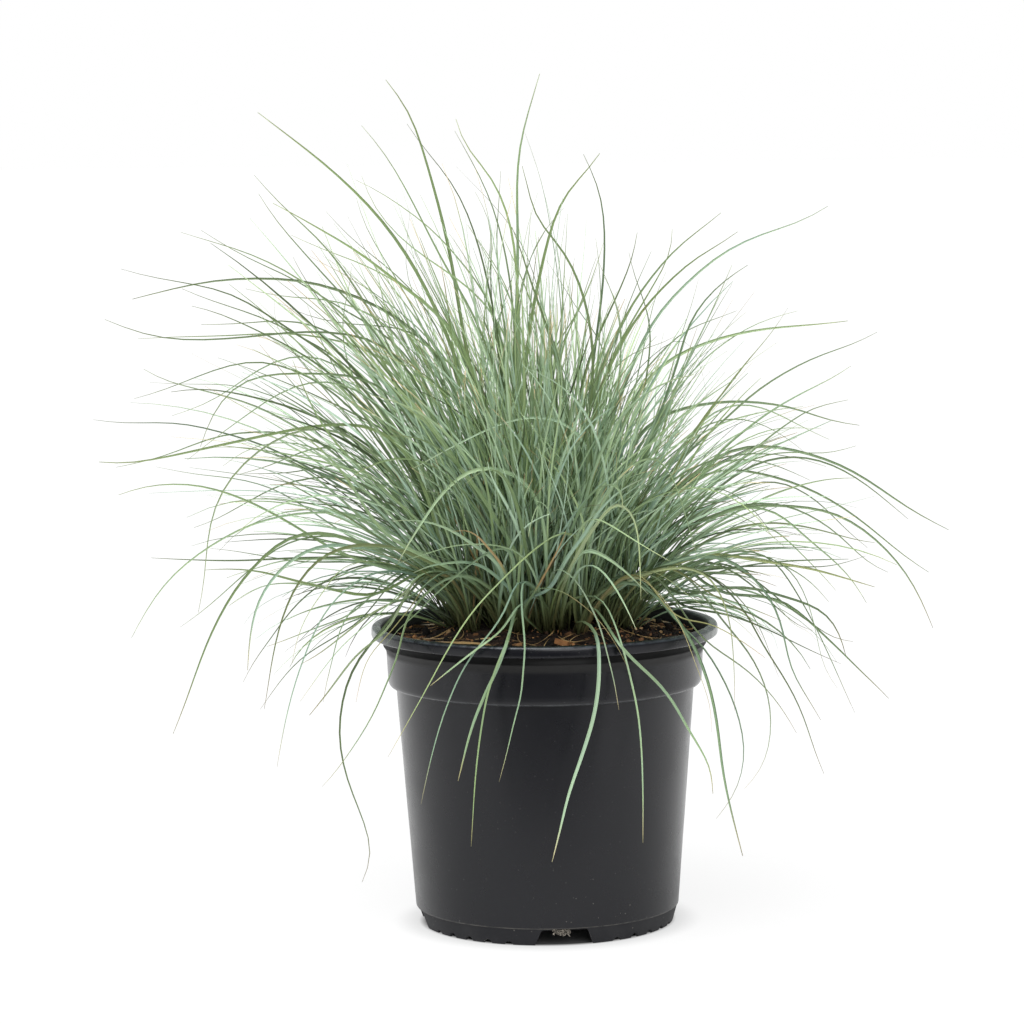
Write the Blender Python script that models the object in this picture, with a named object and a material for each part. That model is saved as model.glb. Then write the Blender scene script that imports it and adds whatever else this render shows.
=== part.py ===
"""Potted three-awn grass: a clump of arching blue-green leaves in a black nursery pot.

Metres, +Z up. The origin is on the pot's axis, at the ground that the pot stands on.
The viewer of the photograph looks along +Y, with +X to the right.
"""
import math
import random

import bmesh
import bpy
import numpy as np
from mathutils import Matrix, Vector, noise

MM = 0.001

# the pot, a five-litre nursery container
RIM_RADIUS = 115.0 * MM
POT_HEIGHT = 200.0 * MM
WALL = 1.4 * MM
POT_SIDES = 36
COLLAR_FOOT_Z = 159.4 * MM
COLLAR_TOP_Z = 183.7 * MM
COLLAR_RADIUS = 105.3 * MM
NECK_RADIUS = 107.4 * MM
BODY_TOP_RADIUS = 99.0 * MM
BODY_FOOT_RADIUS = 87.7 * MM
PARTING_Z = 11.8 * MM
FOOT_RADIUS = 84.4 * MM
FLOOR_Z = 9.0 * MM
FLOOR_TOP_Z = 11.0 * MM
FOOT_EDGE = 2.1 * MM
FOOT_CHAMFER = 0.5 * MM
FLOOR_EDGE_RADIUS = 81.5 * MM
PARTING_STEP = 0.5 * MM
COLLAR_LEAN = 1.0 * MM
COLLAR_ROUND = 2.6 * MM
COLLAR_ROUND_RISE = 3.2 * MM
INNER_ROUND_RISE = 3.6 * MM
BEVEL_RISE = 2.7 * MM

# the rolled rim, as heights down from its top and widths in from its outermost point
LIP_DEPTH = 8.0 * MM
LIP_UNDERSIDE_DEPTH = 7.6 * MM
LIP_BULGE_DEPTH = 5.0 * MM
LIP_SHOULDER_DEPTH = 1.4 * MM
LIP_UNDERSIDE_IN = 1.6 * MM
LIP_SHOULDER_IN = 0.8 * MM
LIP_CREST_IN = 3.4 * MM
LIP_INNER_IN = 6.0 * MM
LIP_INNER_DEPTH = 1.0 * MM
LIP_ROOT_DEPTH = 6.5 * MM

# the foot skirt's notches: four wide ones a quarter turn apart, five small ones between each pair
NOTCH_FIRST = math.radians(277.0)
NOTCH_COUNT = 4
NOTCH_FOOT_WIDTH = 36.0 * MM
NOTCH_TOP_WIDTH = 27.0 * MM
NOTCH_INNER_RADIUS = 79.0 * MM
NOTCH_CORNER = 1.2 * MM
NOTCH_CORNER_FLARE = 0.5 * MM
SMALL_NOTCH_RADIUS = 3.0 * MM
SMALL_NOTCH_DEPTH = 6.0 * MM
CUTTER_REACH = 8.0 * MM
CUTTER_BELOW = 2.0 * MM
SMALL_NOTCH_TURNS = [math.radians(a) for a in (25.0, 35.0, 45.0, 55.0, 65.0)]

# the soil, which keeps a fine gap to everything it touches
GAP = 0.3 * MM
SOIL_INSET = GAP + 0.6 * MM
SOIL_EDGE_Z = 187.0 * MM
SOIL_CROWN_Z = 191.0 * MM
SOIL_MOUND_RADIUS = 70.0 * MM
SOIL_LUMP = 1.1 * MM
SOIL_LUMP_WIDTH = 19.0 * MM
SOIL_SMALL_LUMP_WIDTH = 8.0 * MM
SOIL_QUIET_RADIUS = 60.0 * MM
SOIL_QUIET_SHARE = 0.35
SOIL_STEP_RISE = 1.0 * MM
SOIL_COLLAR_RISE = 4.4 * MM
SOIL_SIDES = 28
SOIL_TOP_RINGS = [r * MM for r in (102.0, 82.0, 58.0, 30.0)]

# bark chips on the soil: place and length in millimetres
BARK_CHIPS = [(-84, -24, 9), (12, -72, 12), (34, -70, 10), (-18, -72, 8), (52, 60, 11), (-44, 74, 10)]
CHIP_THICKNESS = 2.2 * MM
CHIP_WIDTH = 0.55

# dry leaves on the soil: middle, bearing, length and bow, in millimetres and degrees
FALLEN_LEAVES = [(-50, -66, -37, 54, 6), (4, -84, 10, 38, -5), (58, -64, 42, 48, -4), (70, 52, 127, 54, -5),
                 (-74, 48, 57, 50, -4)]
FALLEN_STATIONS = 5
FALLEN_LIFT = 2.2 * MM
FALLEN_ARCH = 2.6 * MM
FALLEN_HALF_WIDTH = 1.3 * MM
FALLEN_TAPER = 0.75
FALLEN_THICKNESS = 0.9 * MM

# the tuft of roots in the front notch
ROOTS_HALF_SIZE = (7.5 * MM, 1.6 * MM, 2.2 * MM)
ROOTS_RADIUS = 81.6 * MM
ROOTS_DROP = 2.9 * MM
ROOTS_LUMP = 0.22
ROOTS_LUMPS_ACROSS = 2.3

# a leaf's section, and where along a leaf its rings stand
LEAF_RINGS = (0.15, 0.33, 0.51, 0.69, 0.87)
LEAF_THICKNESS = 0.42
LEAF_ROUGHNESS = 0.6
WIDEST_AT = 0.3
TAPER_POWER = 1.4
TIP_SHARE = 0.1

# how a leaf bends: the pull of its sheath and of its tip, as shares of its length
ARCH_START, ARCH_MIDDLE, ARCH_END = 0.32, 0.36, 0.32
ARCH_MIDDLE_DROOP = 0.42
ARCH_START_PULL, ARCH_END_PULL = 0.36, 0.34
REACH_START_PULL, REACH_END_PULL = 0.40, 0.38
SHEATH_RADIUS = 2.1 * MM
SHEATH_LIFT = 1.1 * MM
SHEATH_FOOT_SHARE = 0.85
SHEATH_TOP_RISE = 0.6 * MM
SHEATH_CLEARANCE = 1.3

# the shoots stand in rings about the pot's axis, and lean out more the further out they stand
CROWN_RADIUS = 62.0 * MM
SHOOT_RINGS = [
    {"count": 5, "radius": 11.0 * MM, "lean": 5.0, "sheath": 34.0 * MM},
    {"count": 9, "radius": 25.0 * MM, "lean": 15.0, "sheath": 30.0 * MM},
    {"count": 12, "radius": 38.0 * MM, "lean": 28.0, "sheath": 24.0 * MM},
    {"count": 14, "radius": 50.0 * MM, "lean": 42.0, "sheath": 18.0 * MM},
]
LEAVES_PER_SHOOT = 5

# the clump's tips stay in the outline's own reach, and its leaves clear one another and the pot
REACH_X = 287.0 * MM
REACH_Y = 275.0 * MM
REACH_Z = 564.0 * MM
LEAF_CLEARANCE = 0.35 * MM
RIM_CLEARANCE = 3.5 * MM
RIM_INNER_WIDTH = 11.0 * MM
CLEARANCE_STEPS = 6
LOWEST_LEAF_Z = 12.0 * MM
ATTEMPTS = 90
SWING = 2.2 * MM
SWING_LEAN = 0.35

# how an outline leaf picks its shoot: what a leaf already there and a degree of lean count for
CROWDING_COST = 9.0
LEAN_COST = 1.3
UPRIGHT_TURN = 12.0

# the other leaves: their turn, lean and droop in degrees, and their length and width
FILL_TURN = 30.0
FILL_LEAN = (-10.0, 22.0)
FILL_LENGTH = (215.0 * MM, 330.0 * MM)
FILL_LENGTH_LOSS = 600.0
FILL_DROOP = (14.0, 40.0)
FILL_DROOP_PER_LEAN = 1.1
FILL_WIDTH = (2.3 * MM, 3.1 * MM)

# the leaves whose tips draw the outline: tip in millimetres, lean from straight up at the sheath and
# at the tip in degrees, width in millimetres. The first groups are the photograph's, left, right and
# over the front of the pot. The last fills the sides and the back that it doesn't show.
OUTLINE_LEAVES = [
    ((-5, -8, 563), -3, 8, 3.0), ((-103, 40, 557), 4, 26, 2.8), ((-187, -30, 537), 12, 46, 2.6),
    ((-123, -70, 528), 10, 34, 2.2), ((-196, 60, 495), 16, 60, 2.2), ((-236, -50, 458), 24, 74, 2.2),
    ((-278, 30, 435), 26, 84, 2.4), ((-283, -90, 404), 34, 88, 2.4), ((-286, -120, 345), 38, 96, 2.4),
    ((-285, -100, 315), 42, 98, 3.0), ((-284, 60, 280), 40, 110, 2.2), ((-268, -60, 197), 42, 142, 2.4),
    ((-240, -80, 144), 44, 156, 2.2), ((-225, 60, 205), 40, 140, 2.2), ((-149, -60, 92), 50, 160, 2.4),
    ((-123, -75, 30), 52, 176, 2.2),
    ((36, 20, 511), 4, 24, 3.0), ((113, -40, 473), 12, 40, 2.6), ((185, 60, 475), 16, 56, 2.6),
    ((217, 40, 392), 26, 76, 2.4), ((199, -60, 402), 24, 66, 2.4), ((280, 120, 250), 38, 112, 2.8),
    ((270, 110, 182), 42, 134, 2.6), ((238, -40, 268), 40, 108, 2.4), ((206, -100, 336), 36, 92, 2.4),
    ((227, 60, 232), 42, 122, 2.2), ((181, -60, 112), 48, 158, 2.2), ((230, 80, 150), 46, 150, 2.2),
    ((-105, -122, 112), 52, 160, 2.8), ((-82, -128, 82), 50, 170, 2.6), ((-57, -132, 96), 48, 172, 2.4),
    ((-50, -136, 54), 48, 176, 2.8), ((-31, -140, 97), 46, 172, 2.6), ((3, -142, 46), 44, 182, 3.2),
    ((46, -132, 144), 44, 172, 2.4), ((64, -128, 56), 46, 178, 3.0), ((110, -118, 92), 50, 164, 2.4),
    ((130, -104, 46), 52, 170, 2.6), ((113, -96, 72), 52, 176, 2.2),
    ((30, -272, 300), 38, 98, 2.6), ((-110, -250, 250), 42, 112, 2.6), ((120, -240, 280), 40, 104, 2.4),
    ((-150, -190, 190), 46, 136, 2.4), ((160, -180, 180), 46, 138, 2.4),
    ((-20, 274, 290), 38, 100, 2.6), ((90, 262, 340), 34, 90, 2.6), ((-120, 240, 330), 36, 92, 2.6),
    ((150, 210, 240), 42, 118, 2.4), ((-170, 200, 220), 44, 122, 2.4), ((20, 200, 130), 50, 160, 2.4),
    ((-90, 180, 110), 50, 162, 2.4), ((110, 170, 120), 50, 160, 2.4), ((-60, 150, 470), 18, 54, 2.6),
    ((60, 160, 460), 20, 58, 2.6), ((-60, -150, 450), 20, 58, 2.6), ((70, -140, 440), 20, 60, 2.6),
]

POT_COLOUR = (0.022, 0.022, 0.025)
SOIL_COLOUR = (0.030, 0.018, 0.012)
BARK_COLOUR = (0.29, 0.13, 0.055)
STRAW_COLOUR = (0.42, 0.22, 0.09)
ROOT_COLOUR = (0.22, 0.17, 0.12)
LEAF_COLOURS = [(0.16, 0.29, 0.19), (0.24, 0.36, 0.20), (0.10, 0.22, 0.15), (0.30, 0.44, 0.33)]


def clear_scene():
    for obj in list(bpy.data.objects):
        bpy.data.objects.remove(obj, do_unlink=True)


def material(name, colour, roughness):
    """One Principled material for one object. Nothing here is metal."""
    mat = bpy.data.materials.new(name)
    mat.use_nodes = True
    shader = mat.node_tree.nodes["Principled BSDF"]
    shader.inputs["Base Color"].default_value = (*colour, 1.0)
    shader.inputs["Roughness"].default_value = roughness
    shader.inputs["Metallic"].default_value = 0.0
    mat.diffuse_color = (*colour, 1.0)
    return mat


def new_object(name, bm, mat):
    """Turn a bmesh into a named object whose faces point out."""
    bmesh.ops.recalc_face_normals(bm, faces=bm.faces)
    mesh = bpy.data.meshes.new(name)
    bm.to_mesh(mesh)
    bm.free()
    mesh.materials.append(mat)
    obj = bpy.data.objects.new(name, mesh)
    bpy.context.scene.collection.objects.link(obj)
    return obj


def lathe(profile, sides):
    """Spin a radius and height profile that starts and ends on the Z axis into one closed body."""
    bm = bmesh.new()
    verts = [bm.verts.new((r, 0.0, z)) for r, z in profile]
    edges = [bm.edges.new(pair) for pair in zip(verts, verts[1:])]
    bmesh.ops.spin(bm, geom=verts + edges, cent=(0, 0, 0), axis=(0, 0, 1),
                   angle=2 * math.pi, steps=sides, use_merge=True)
    bmesh.ops.remove_doubles(bm, verts=bm.verts, dist=1e-6)
    return bm


# Pot

def body_radius(z):
    """The tapered wall's outer radius at a height between the parting line and the collar."""
    t = (z - PARTING_Z) / (COLLAR_FOOT_Z - PARTING_Z)
    return BODY_FOOT_RADIUS + t * (BODY_TOP_RADIUS - BODY_FOOT_RADIUS)


def pot_profile():
    """From the floor's underside out and up the outer side, over the rim and down the inner side."""
    foot = [
        (0.0, FLOOR_Z), (FLOOR_EDGE_RADIUS, FLOOR_Z),
        (FOOT_RADIUS - FOOT_CHAMFER - FOOT_EDGE, 0.0), (FOOT_RADIUS - FOOT_CHAMFER, 0.0),
        (FOOT_RADIUS, FOOT_CHAMFER * 1.6),
        (BODY_FOOT_RADIUS - PARTING_STEP, PARTING_Z - PARTING_STEP * 0.8), (BODY_FOOT_RADIUS, PARTING_Z),
    ]
    collar = [
        (BODY_TOP_RADIUS, COLLAR_FOOT_Z),
        (COLLAR_RADIUS - COLLAR_ROUND, COLLAR_FOOT_Z + COLLAR_ROUND_RISE * 0.28),
        (COLLAR_RADIUS - COLLAR_LEAN, COLLAR_FOOT_Z + COLLAR_ROUND_RISE),
        (COLLAR_RADIUS, COLLAR_TOP_Z), (NECK_RADIUS, COLLAR_TOP_Z + BEVEL_RISE),
    ]
    lip = [
        (NECK_RADIUS, POT_HEIGHT - LIP_DEPTH),
        (RIM_RADIUS - LIP_UNDERSIDE_IN, POT_HEIGHT - LIP_UNDERSIDE_DEPTH),
        (RIM_RADIUS, POT_HEIGHT - LIP_BULGE_DEPTH),
        (RIM_RADIUS - LIP_SHOULDER_IN, POT_HEIGHT - LIP_SHOULDER_DEPTH),
        (RIM_RADIUS - LIP_CREST_IN, POT_HEIGHT),
        (RIM_RADIUS - LIP_INNER_IN, POT_HEIGHT - LIP_INNER_DEPTH),
        (NECK_RADIUS - WALL, POT_HEIGHT - LIP_ROOT_DEPTH),
    ]
    inner = [
        (COLLAR_RADIUS - WALL, COLLAR_TOP_Z),
        (COLLAR_RADIUS - COLLAR_LEAN - WALL, COLLAR_FOOT_Z + INNER_ROUND_RISE),
        (BODY_TOP_RADIUS - WALL, COLLAR_FOOT_Z + SOIL_STEP_RISE),
        (BODY_FOOT_RADIUS - WALL, FLOOR_TOP_Z), (0.0, FLOOR_TOP_Z),
    ]
    return foot + collar + lip + inner


def add_prism(bm, corners, along, reach_in, reach_out):
    """Add an outline of (across, height) points, pushed out along a direction, as a closed body."""
    across = Vector((-along.y, along.x, 0.0))
    rings = []
    for reach in (reach_in, reach_out):
        rings.append([bm.verts.new(along * reach + across * u + Vector((0, 0, z))) for u, z in corners])
    bm.faces.new(rings[0])
    bm.faces.new(list(reversed(rings[1])))
    count = len(corners)
    for i in range(count):
        j = (i + 1) % count
        bm.faces.new((rings[0][j], rings[0][i], rings[1][i], rings[1][j]))


def notch_cutter():
    """The wide drain notches, which reach in past the floor's edge, and the small round ones."""
    bm = bmesh.new()
    half = NOTCH_TOP_WIDTH / 2
    top = PARTING_Z - PARTING_STEP
    flare = (NOTCH_FOOT_WIDTH - NOTCH_TOP_WIDTH) / 2 * (1.0 + CUTTER_BELOW / top)
    wide = [(-half - flare, -CUTTER_BELOW), (half + flare, -CUTTER_BELOW),
            (half + NOTCH_CORNER_FLARE, top - NOTCH_CORNER), (half - NOTCH_CORNER, top),
            (-half + NOTCH_CORNER, top), (-half - NOTCH_CORNER_FLARE, top - NOTCH_CORNER)]
    arc = [math.pi * i / 3 for i in range(4)]
    small = [(SMALL_NOTCH_RADIUS * math.cos(a), SMALL_NOTCH_RADIUS * math.sin(a)) for a in arc]
    small += [(-SMALL_NOTCH_RADIUS, -CUTTER_BELOW), (SMALL_NOTCH_RADIUS, -CUTTER_BELOW)]
    for quarter in range(NOTCH_COUNT):
        turn = NOTCH_FIRST + quarter * 2 * math.pi / NOTCH_COUNT
        along = Vector((math.cos(turn), math.sin(turn), 0.0))
        add_prism(bm, wide, along, NOTCH_INNER_RADIUS, FOOT_RADIUS + CUTTER_REACH)
        for step in SMALL_NOTCH_TURNS:
            along = Vector((math.cos(turn + step), math.sin(turn + step), 0.0))
            add_prism(bm, small, along, FOOT_RADIUS - SMALL_NOTCH_DEPTH, FOOT_RADIUS + CUTTER_REACH)
    cutter = new_object("notch_cutter", bm, material("cutter", (1, 0, 0), 0.5))
    cutter.hide_render = True
    cutter.display_type = "WIRE"
    return cutter


def build_pot():
    pot = new_object("pot", lathe(pot_profile(), POT_SIDES), material("black_plastic", POT_COLOUR, 0.42))
    cut = pot.modifiers.new("notches", "BOOLEAN")
    cut.operation = "DIFFERENCE"
    cut.object = notch_cutter()
    pot.data.shade_smooth()
    pot.data.set_sharp_from_angle(angle=math.radians(35))
    return pot


# Soil and what lies on it

def soil_height(x, y):
    """The lumpy top of the potting mix, a little higher under the clump."""
    r = math.hypot(x, y)
    mound = (SOIL_CROWN_Z - SOIL_EDGE_Z) * math.exp(-(r / SOIL_MOUND_RADIUS) ** 4)
    lumps = noise.noise(Vector((x, y, 0.0)) / SOIL_LUMP_WIDTH)
    lumps += 0.5 * noise.noise(Vector((x, y, 0.1)) / SOIL_SMALL_LUMP_WIDTH)
    quiet = SOIL_QUIET_SHARE if r < SOIL_QUIET_RADIUS else 1.0
    return SOIL_EDGE_Z + mound + SOIL_LUMP * lumps * quiet


def build_soil():
    """A plug that follows the pot's inner side, with rings of a lumpy top."""
    bm = bmesh.new()
    step = 2 * math.pi / SOIL_SIDES
    side = [
        (BODY_FOOT_RADIUS - WALL - SOIL_INSET, FLOOR_TOP_Z + GAP),
        (BODY_TOP_RADIUS - WALL - SOIL_INSET, COLLAR_FOOT_Z + SOIL_STEP_RISE),
        (COLLAR_RADIUS - COLLAR_LEAN - WALL - SOIL_INSET, COLLAR_FOOT_Z + SOIL_COLLAR_RISE),
        (COLLAR_RADIUS - WALL - SOIL_INSET, COLLAR_TOP_Z),
    ]
    rings = []
    for radius, z in side:
        rings.append([bm.verts.new((radius * math.cos(i * step), radius * math.sin(i * step), z))
                      for i in range(SOIL_SIDES)])
    for radius in SOIL_TOP_RINGS:
        ring = []
        for i in range(SOIL_SIDES):
            x, y = radius * math.cos(i * step), radius * math.sin(i * step)
            ring.append(bm.verts.new((x, y, soil_height(x, y))))
        rings.append(ring)
    for low, high in zip(rings, rings[1:]):
        for i in range(SOIL_SIDES):
            j = (i + 1) % SOIL_SIDES
            bm.faces.new((low[i], low[j], high[j], high[i]))
    bm.faces.new(list(reversed(rings[0])))
    peak = bm.verts.new((0.0, 0.0, soil_height(0.0, 0.0)))
    for i in range(SOIL_SIDES):
        bm.faces.new((rings[-1][i], rings[-1][(i + 1) % SOIL_SIDES], peak))
    bmesh.ops.triangulate(bm, faces=bm.faces)
    return new_object("soil", bm, material("potting_mix", SOIL_COLOUR, 0.95))


def turned(degrees):
    """A turn about Z as a 3x3 matrix."""
    return Matrix.Rotation(math.radians(degrees), 3, "Z")


def build_bark_chips():
    """Flat, broken pieces of bark lying on the soil, each a tapered block with chipped corners."""
    rng = random.Random(11)
    for number, (x, y, length) in enumerate(BARK_CHIPS, 1):
        bm = bmesh.new()
        bmesh.ops.create_cube(bm, size=1.0)
        bmesh.ops.scale(bm, vec=(length * MM, CHIP_WIDTH * length * MM, CHIP_THICKNESS), verts=bm.verts)
        for v in bm.verts:
            v.co.x *= rng.uniform(0.75, 1.05)
            v.co.y *= rng.uniform(0.7, 1.05)
        bmesh.ops.rotate(bm, matrix=turned(rng.uniform(0, 180)), verts=bm.verts)
        lift = max(soil_height(x * MM + v.co.x, y * MM + v.co.y) for v in bm.verts) + CHIP_THICKNESS
        bmesh.ops.translate(bm, vec=(x * MM, y * MM, lift), verts=bm.verts)
        new_object(f"bark_chip_{number}", bm, material(f"bark_{number}", BARK_COLOUR, 0.9))


def build_fallen_leaves():
    """Dry leaves lying curled on the soil, each a bowed, arched strip of three corners."""
    for number, (x, y, bearing, length, bow) in enumerate(FALLEN_LEAVES, 1):
        bm = bmesh.new()
        along, across = heading(bearing), heading(bearing + 90.0)
        middle = Vector((x, y, 0.0)) * MM
        rings = []
        for k in range(FALLEN_STATIONS + 1):
            t = 2.0 * k / FALLEN_STATIONS - 1.0
            at = middle + along * (0.5 * length * t * MM) + across * (bow * (1.0 - t * t) * MM)
            level = soil_height(at.x, at.y) + FALLEN_LIFT + FALLEN_ARCH * (1.0 - t * t)
            half = FALLEN_HALF_WIDTH * (1.0 - FALLEN_TAPER * t * t)
            offsets = ((-half, 0.0), (half, 0.0), (0.0, FALLEN_THICKNESS))
            rings.append([bm.verts.new((at.x + across.x * u, at.y + across.y * u, level + w))
                          for u, w in offsets])
        for low, high in zip(rings, rings[1:]):
            for m in range(3):
                n = (m + 1) % 3
                bm.faces.new((low[m], low[n], high[n], high[m]))
        bm.faces.new(rings[0])
        bm.faces.new(list(reversed(rings[-1])))
        bmesh.ops.triangulate(bm, faces=bm.faces)
        new_object(f"fallen_leaf_{number}", bm, material(f"dry_leaf_{number}", STRAW_COLOUR, 0.8))


def build_roots():
    """The tuft of roots and mix that hangs just below the soil in the front drain notch."""
    bm = bmesh.new()
    bmesh.ops.create_icosphere(bm, subdivisions=1, radius=1.0)
    for v in bm.verts:
        v.co *= 1.0 + ROOTS_LUMP * noise.noise(v.co * ROOTS_LUMPS_ACROSS)
    bmesh.ops.scale(bm, vec=ROOTS_HALF_SIZE, verts=bm.verts)
    bmesh.ops.rotate(bm, matrix=turned(math.degrees(NOTCH_FIRST) + 90.0), verts=bm.verts)
    place = (ROOTS_RADIUS * math.cos(NOTCH_FIRST), ROOTS_RADIUS * math.sin(NOTCH_FIRST), FLOOR_TOP_Z - ROOTS_DROP)
    bmesh.ops.translate(bm, vec=place, verts=bm.verts)
    new_object("roots", bm, material("dry_roots", ROOT_COLOUR, 0.95))


# Leaves

def bezier(points, t):
    """A point of a cubic curve through its two ends."""
    a, b, c, d = points
    s = 1.0 - t
    return a * s ** 3 + b * (3 * s * s * t) + c * (3 * s * t * t) + d * t ** 3


class Leaf:
    """One leaf: a cubic curve from its sheath to its tip, and its greatest width."""

    def __init__(self, curve, width):
        self.curve = curve
        self.width = width
        self.tip = curve[3]

    def stations(self):
        """The points that its rings stand on, with its foot and its tip."""
        return [self.curve[0]] + [bezier(self.curve, t) for t in LEAF_RINGS] + [self.tip]

    def half_width(self, t):
        """Widest near the sheath, then drawn out to a hair-fine tip."""
        taper = max(0.0, (t - WIDEST_AT) / (1.0 - WIDEST_AT)) ** TAPER_POWER
        return 0.5 * self.width * (1.0 - (1.0 - TIP_SHARE) * taper)


def heading(degrees):
    """A level direction, counted from +X towards +Y."""
    a = math.radians(degrees)
    return Vector((math.cos(a), math.sin(a), 0.0))


def leaning(azimuth, lean):
    """A direction that leans from straight up towards an azimuth, both in degrees."""
    tilt = math.radians(lean)
    return heading(azimuth) * math.sin(tilt) + Vector((0, 0, 1)) * math.cos(tilt)


def bearing_of(vector):
    return math.degrees(math.atan2(vector.y, vector.x))


def arching_leaf(base, azimuth, lean, length, droop, width):
    """A leaf that starts at a lean and bends over by droop degrees by its tip."""
    start = leaning(azimuth, lean)
    middle = leaning(azimuth, lean + ARCH_MIDDLE_DROOP * droop)
    end = leaning(azimuth, lean + droop)
    tip = base + (start * ARCH_START + middle * ARCH_MIDDLE + end * ARCH_END) * length
    pulls = (base + start * ARCH_START_PULL * length, tip - end * ARCH_END_PULL * length)
    return Leaf([base, *pulls, tip], width)


def reaching_leaf(base, tip, lean, tip_lean, width):
    """A leaf that is drawn to a given tip, from its lean at the sheath to its lean at the tip."""
    out = tip - base
    start = leaning(bearing_of(out), lean)
    end = leaning(bearing_of(out), tip_lean)
    pulls = (base + start * REACH_START_PULL * out.length, tip - end * REACH_END_PULL * out.length)
    return Leaf([base, *pulls, tip], width)


def gaps_between(p, q, starts, ends):
    """The least distance between the stretch p to q and each of many other stretches."""
    u = q - p
    v = ends - starts
    w = p - starts
    a = u @ u
    b = v @ u
    c = np.einsum("ij,ij->i", v, v)
    d = w @ u
    e = np.einsum("ij,ij->i", v, w)
    det = np.maximum(a * c - b * b, 1e-18)
    s = np.clip((b * e - c * d) / det, 0.0, 1.0)
    t = np.clip((b * s + e) / c, 0.0, 1.0)
    s = np.clip((b * t - d) / a, 0.0, 1.0)
    return np.linalg.norm(w + s[:, None] * u - t[:, None] * v, axis=1)


class Thicket:
    """Every leaf that stands already, as straight stretches with their half widths and shoots."""

    def __init__(self):
        self.starts = np.zeros((0, 3))
        self.ends = np.zeros((0, 3))
        self.halves = np.zeros(0)
        self.owners = np.zeros(0, int)

    def add(self, points, halves, owner):
        self.starts = np.vstack([self.starts, points[:-1]])
        self.ends = np.vstack([self.ends, points[1:]])
        self.halves = np.concatenate([self.halves, halves[:-1]])
        self.owners = np.concatenate([self.owners, np.full(len(points) - 1, owner)])

    def has_room(self, points, halves, owner):
        """Whether a new leaf clears them all. Its first stretch may touch its own shoot."""
        for k in range(len(points) - 1):
            gaps = gaps_between(points[k], points[k + 1], self.starts, self.ends)
            if k == 0:
                gaps = np.where(self.owners == owner, np.inf, gaps)
            if (gaps < self.halves + halves[k] + LEAF_CLEARANCE).any():
                return False
        return True


def off_the_pot(at):
    """Whether a point of a leaf clears the soil, the rim, the pot's outer side and the ground."""
    r, z = math.hypot(at[0], at[1]), at[2]
    if z < LOWEST_LEAF_Z:
        return False
    if r < RIM_RADIUS + RIM_CLEARANCE:
        if r > RIM_RADIUS - RIM_INNER_WIDTH:
            below_the_rim = r > body_radius(max(z, PARTING_Z)) + RIM_CLEARANCE and z < COLLAR_FOOT_Z
            return z > POT_HEIGHT + RIM_CLEARANCE or below_the_rim
        if r > CROWN_RADIUS:
            return z > SOIL_CROWN_Z + RIM_CLEARANCE
    return True


def clears_the_pot(points):
    steps = [i / CLEARANCE_STEPS for i in range(CLEARANCE_STEPS)]
    return all(off_the_pot(p + (q - p) * t) for p, q in zip(points, points[1:]) for t in steps)


def in_reach(leaf):
    """Whether a leaf's tip stays inside the outline."""
    return abs(leaf.tip.x) < REACH_X and abs(leaf.tip.y) < REACH_Y and leaf.tip.z < REACH_Z


class Shoot:
    """A sheath standing on the soil at a place in its ring, and the leaves that grow from it."""

    def __init__(self, number, ring, turn):
        self.number = number
        self.azimuth = turn
        self.lean = ring["lean"]
        foot = heading(turn) * ring["radius"]
        self.low = Vector((foot.x, foot.y, soil_height(foot.x, foot.y) + SHEATH_LIFT))
        self.high = self.low + leaning(turn, self.lean) * ring["sheath"]
        self.stem = (self.high - self.low).normalized()
        self.side_a = self.stem.cross(Vector((0, 0, 1))).normalized()
        self.side_b = self.stem.cross(self.side_a)
        self.outline = []
        self.leaves = []

    def bearing(self, leaf):
        """A leaf's bearing about its sheath."""
        out = bezier(leaf.curve, LEAF_RINGS[0]) - self.high
        return math.atan2(out.dot(self.side_b), out.dot(self.side_a)) % (2 * math.pi)


def stand_shoots():
    shoots = []
    for step, ring in enumerate(SHOOT_RINGS):
        for i in range(ring["count"]):
            turn = 360.0 * (i + 0.5 * (step % 2) + 0.17 * step) / ring["count"]
            shoots.append(Shoot(len(shoots) + 1, ring, turn))
    return shoots


def share_out(shoots):
    """Give each leaf of the outline to the shoot that points and leans most as it does."""
    for tip, lean, tip_lean, width in OUTLINE_LEAVES:
        tip = Vector(tip) * MM

        def mismatch(shoot):
            turn = abs((bearing_of(tip) - shoot.azimuth + 180.0) % 360.0 - 180.0)
            crowding = CROWDING_COST * len(shoot.outline)
            tilt = math.sin(math.radians(lean + UPRIGHT_TURN))
            return turn * tilt + LEAN_COST * abs(shoot.lean - lean) + crowding

        free = [s for s in shoots if len(s.outline) < LEAVES_PER_SHOOT - 1]
        min(free, key=mismatch).outline.append((tip, lean, tip_lean, width * MM))


def take_root(leaf, shoot, thicket):
    """Keep a leaf if it has room, and say whether it had."""
    points = np.array(leaf.stations())
    halves = np.array([leaf.half_width(t) for t in (0.0, *LEAF_RINGS, 1.0)])
    if not in_reach(leaf) or not clears_the_pot(points[1:]):
        return False
    if not thicket.has_room(points, halves, shoot.number):
        return False
    thicket.add(points, halves, shoot.number)
    shoot.leaves.append(leaf)
    return True


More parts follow.
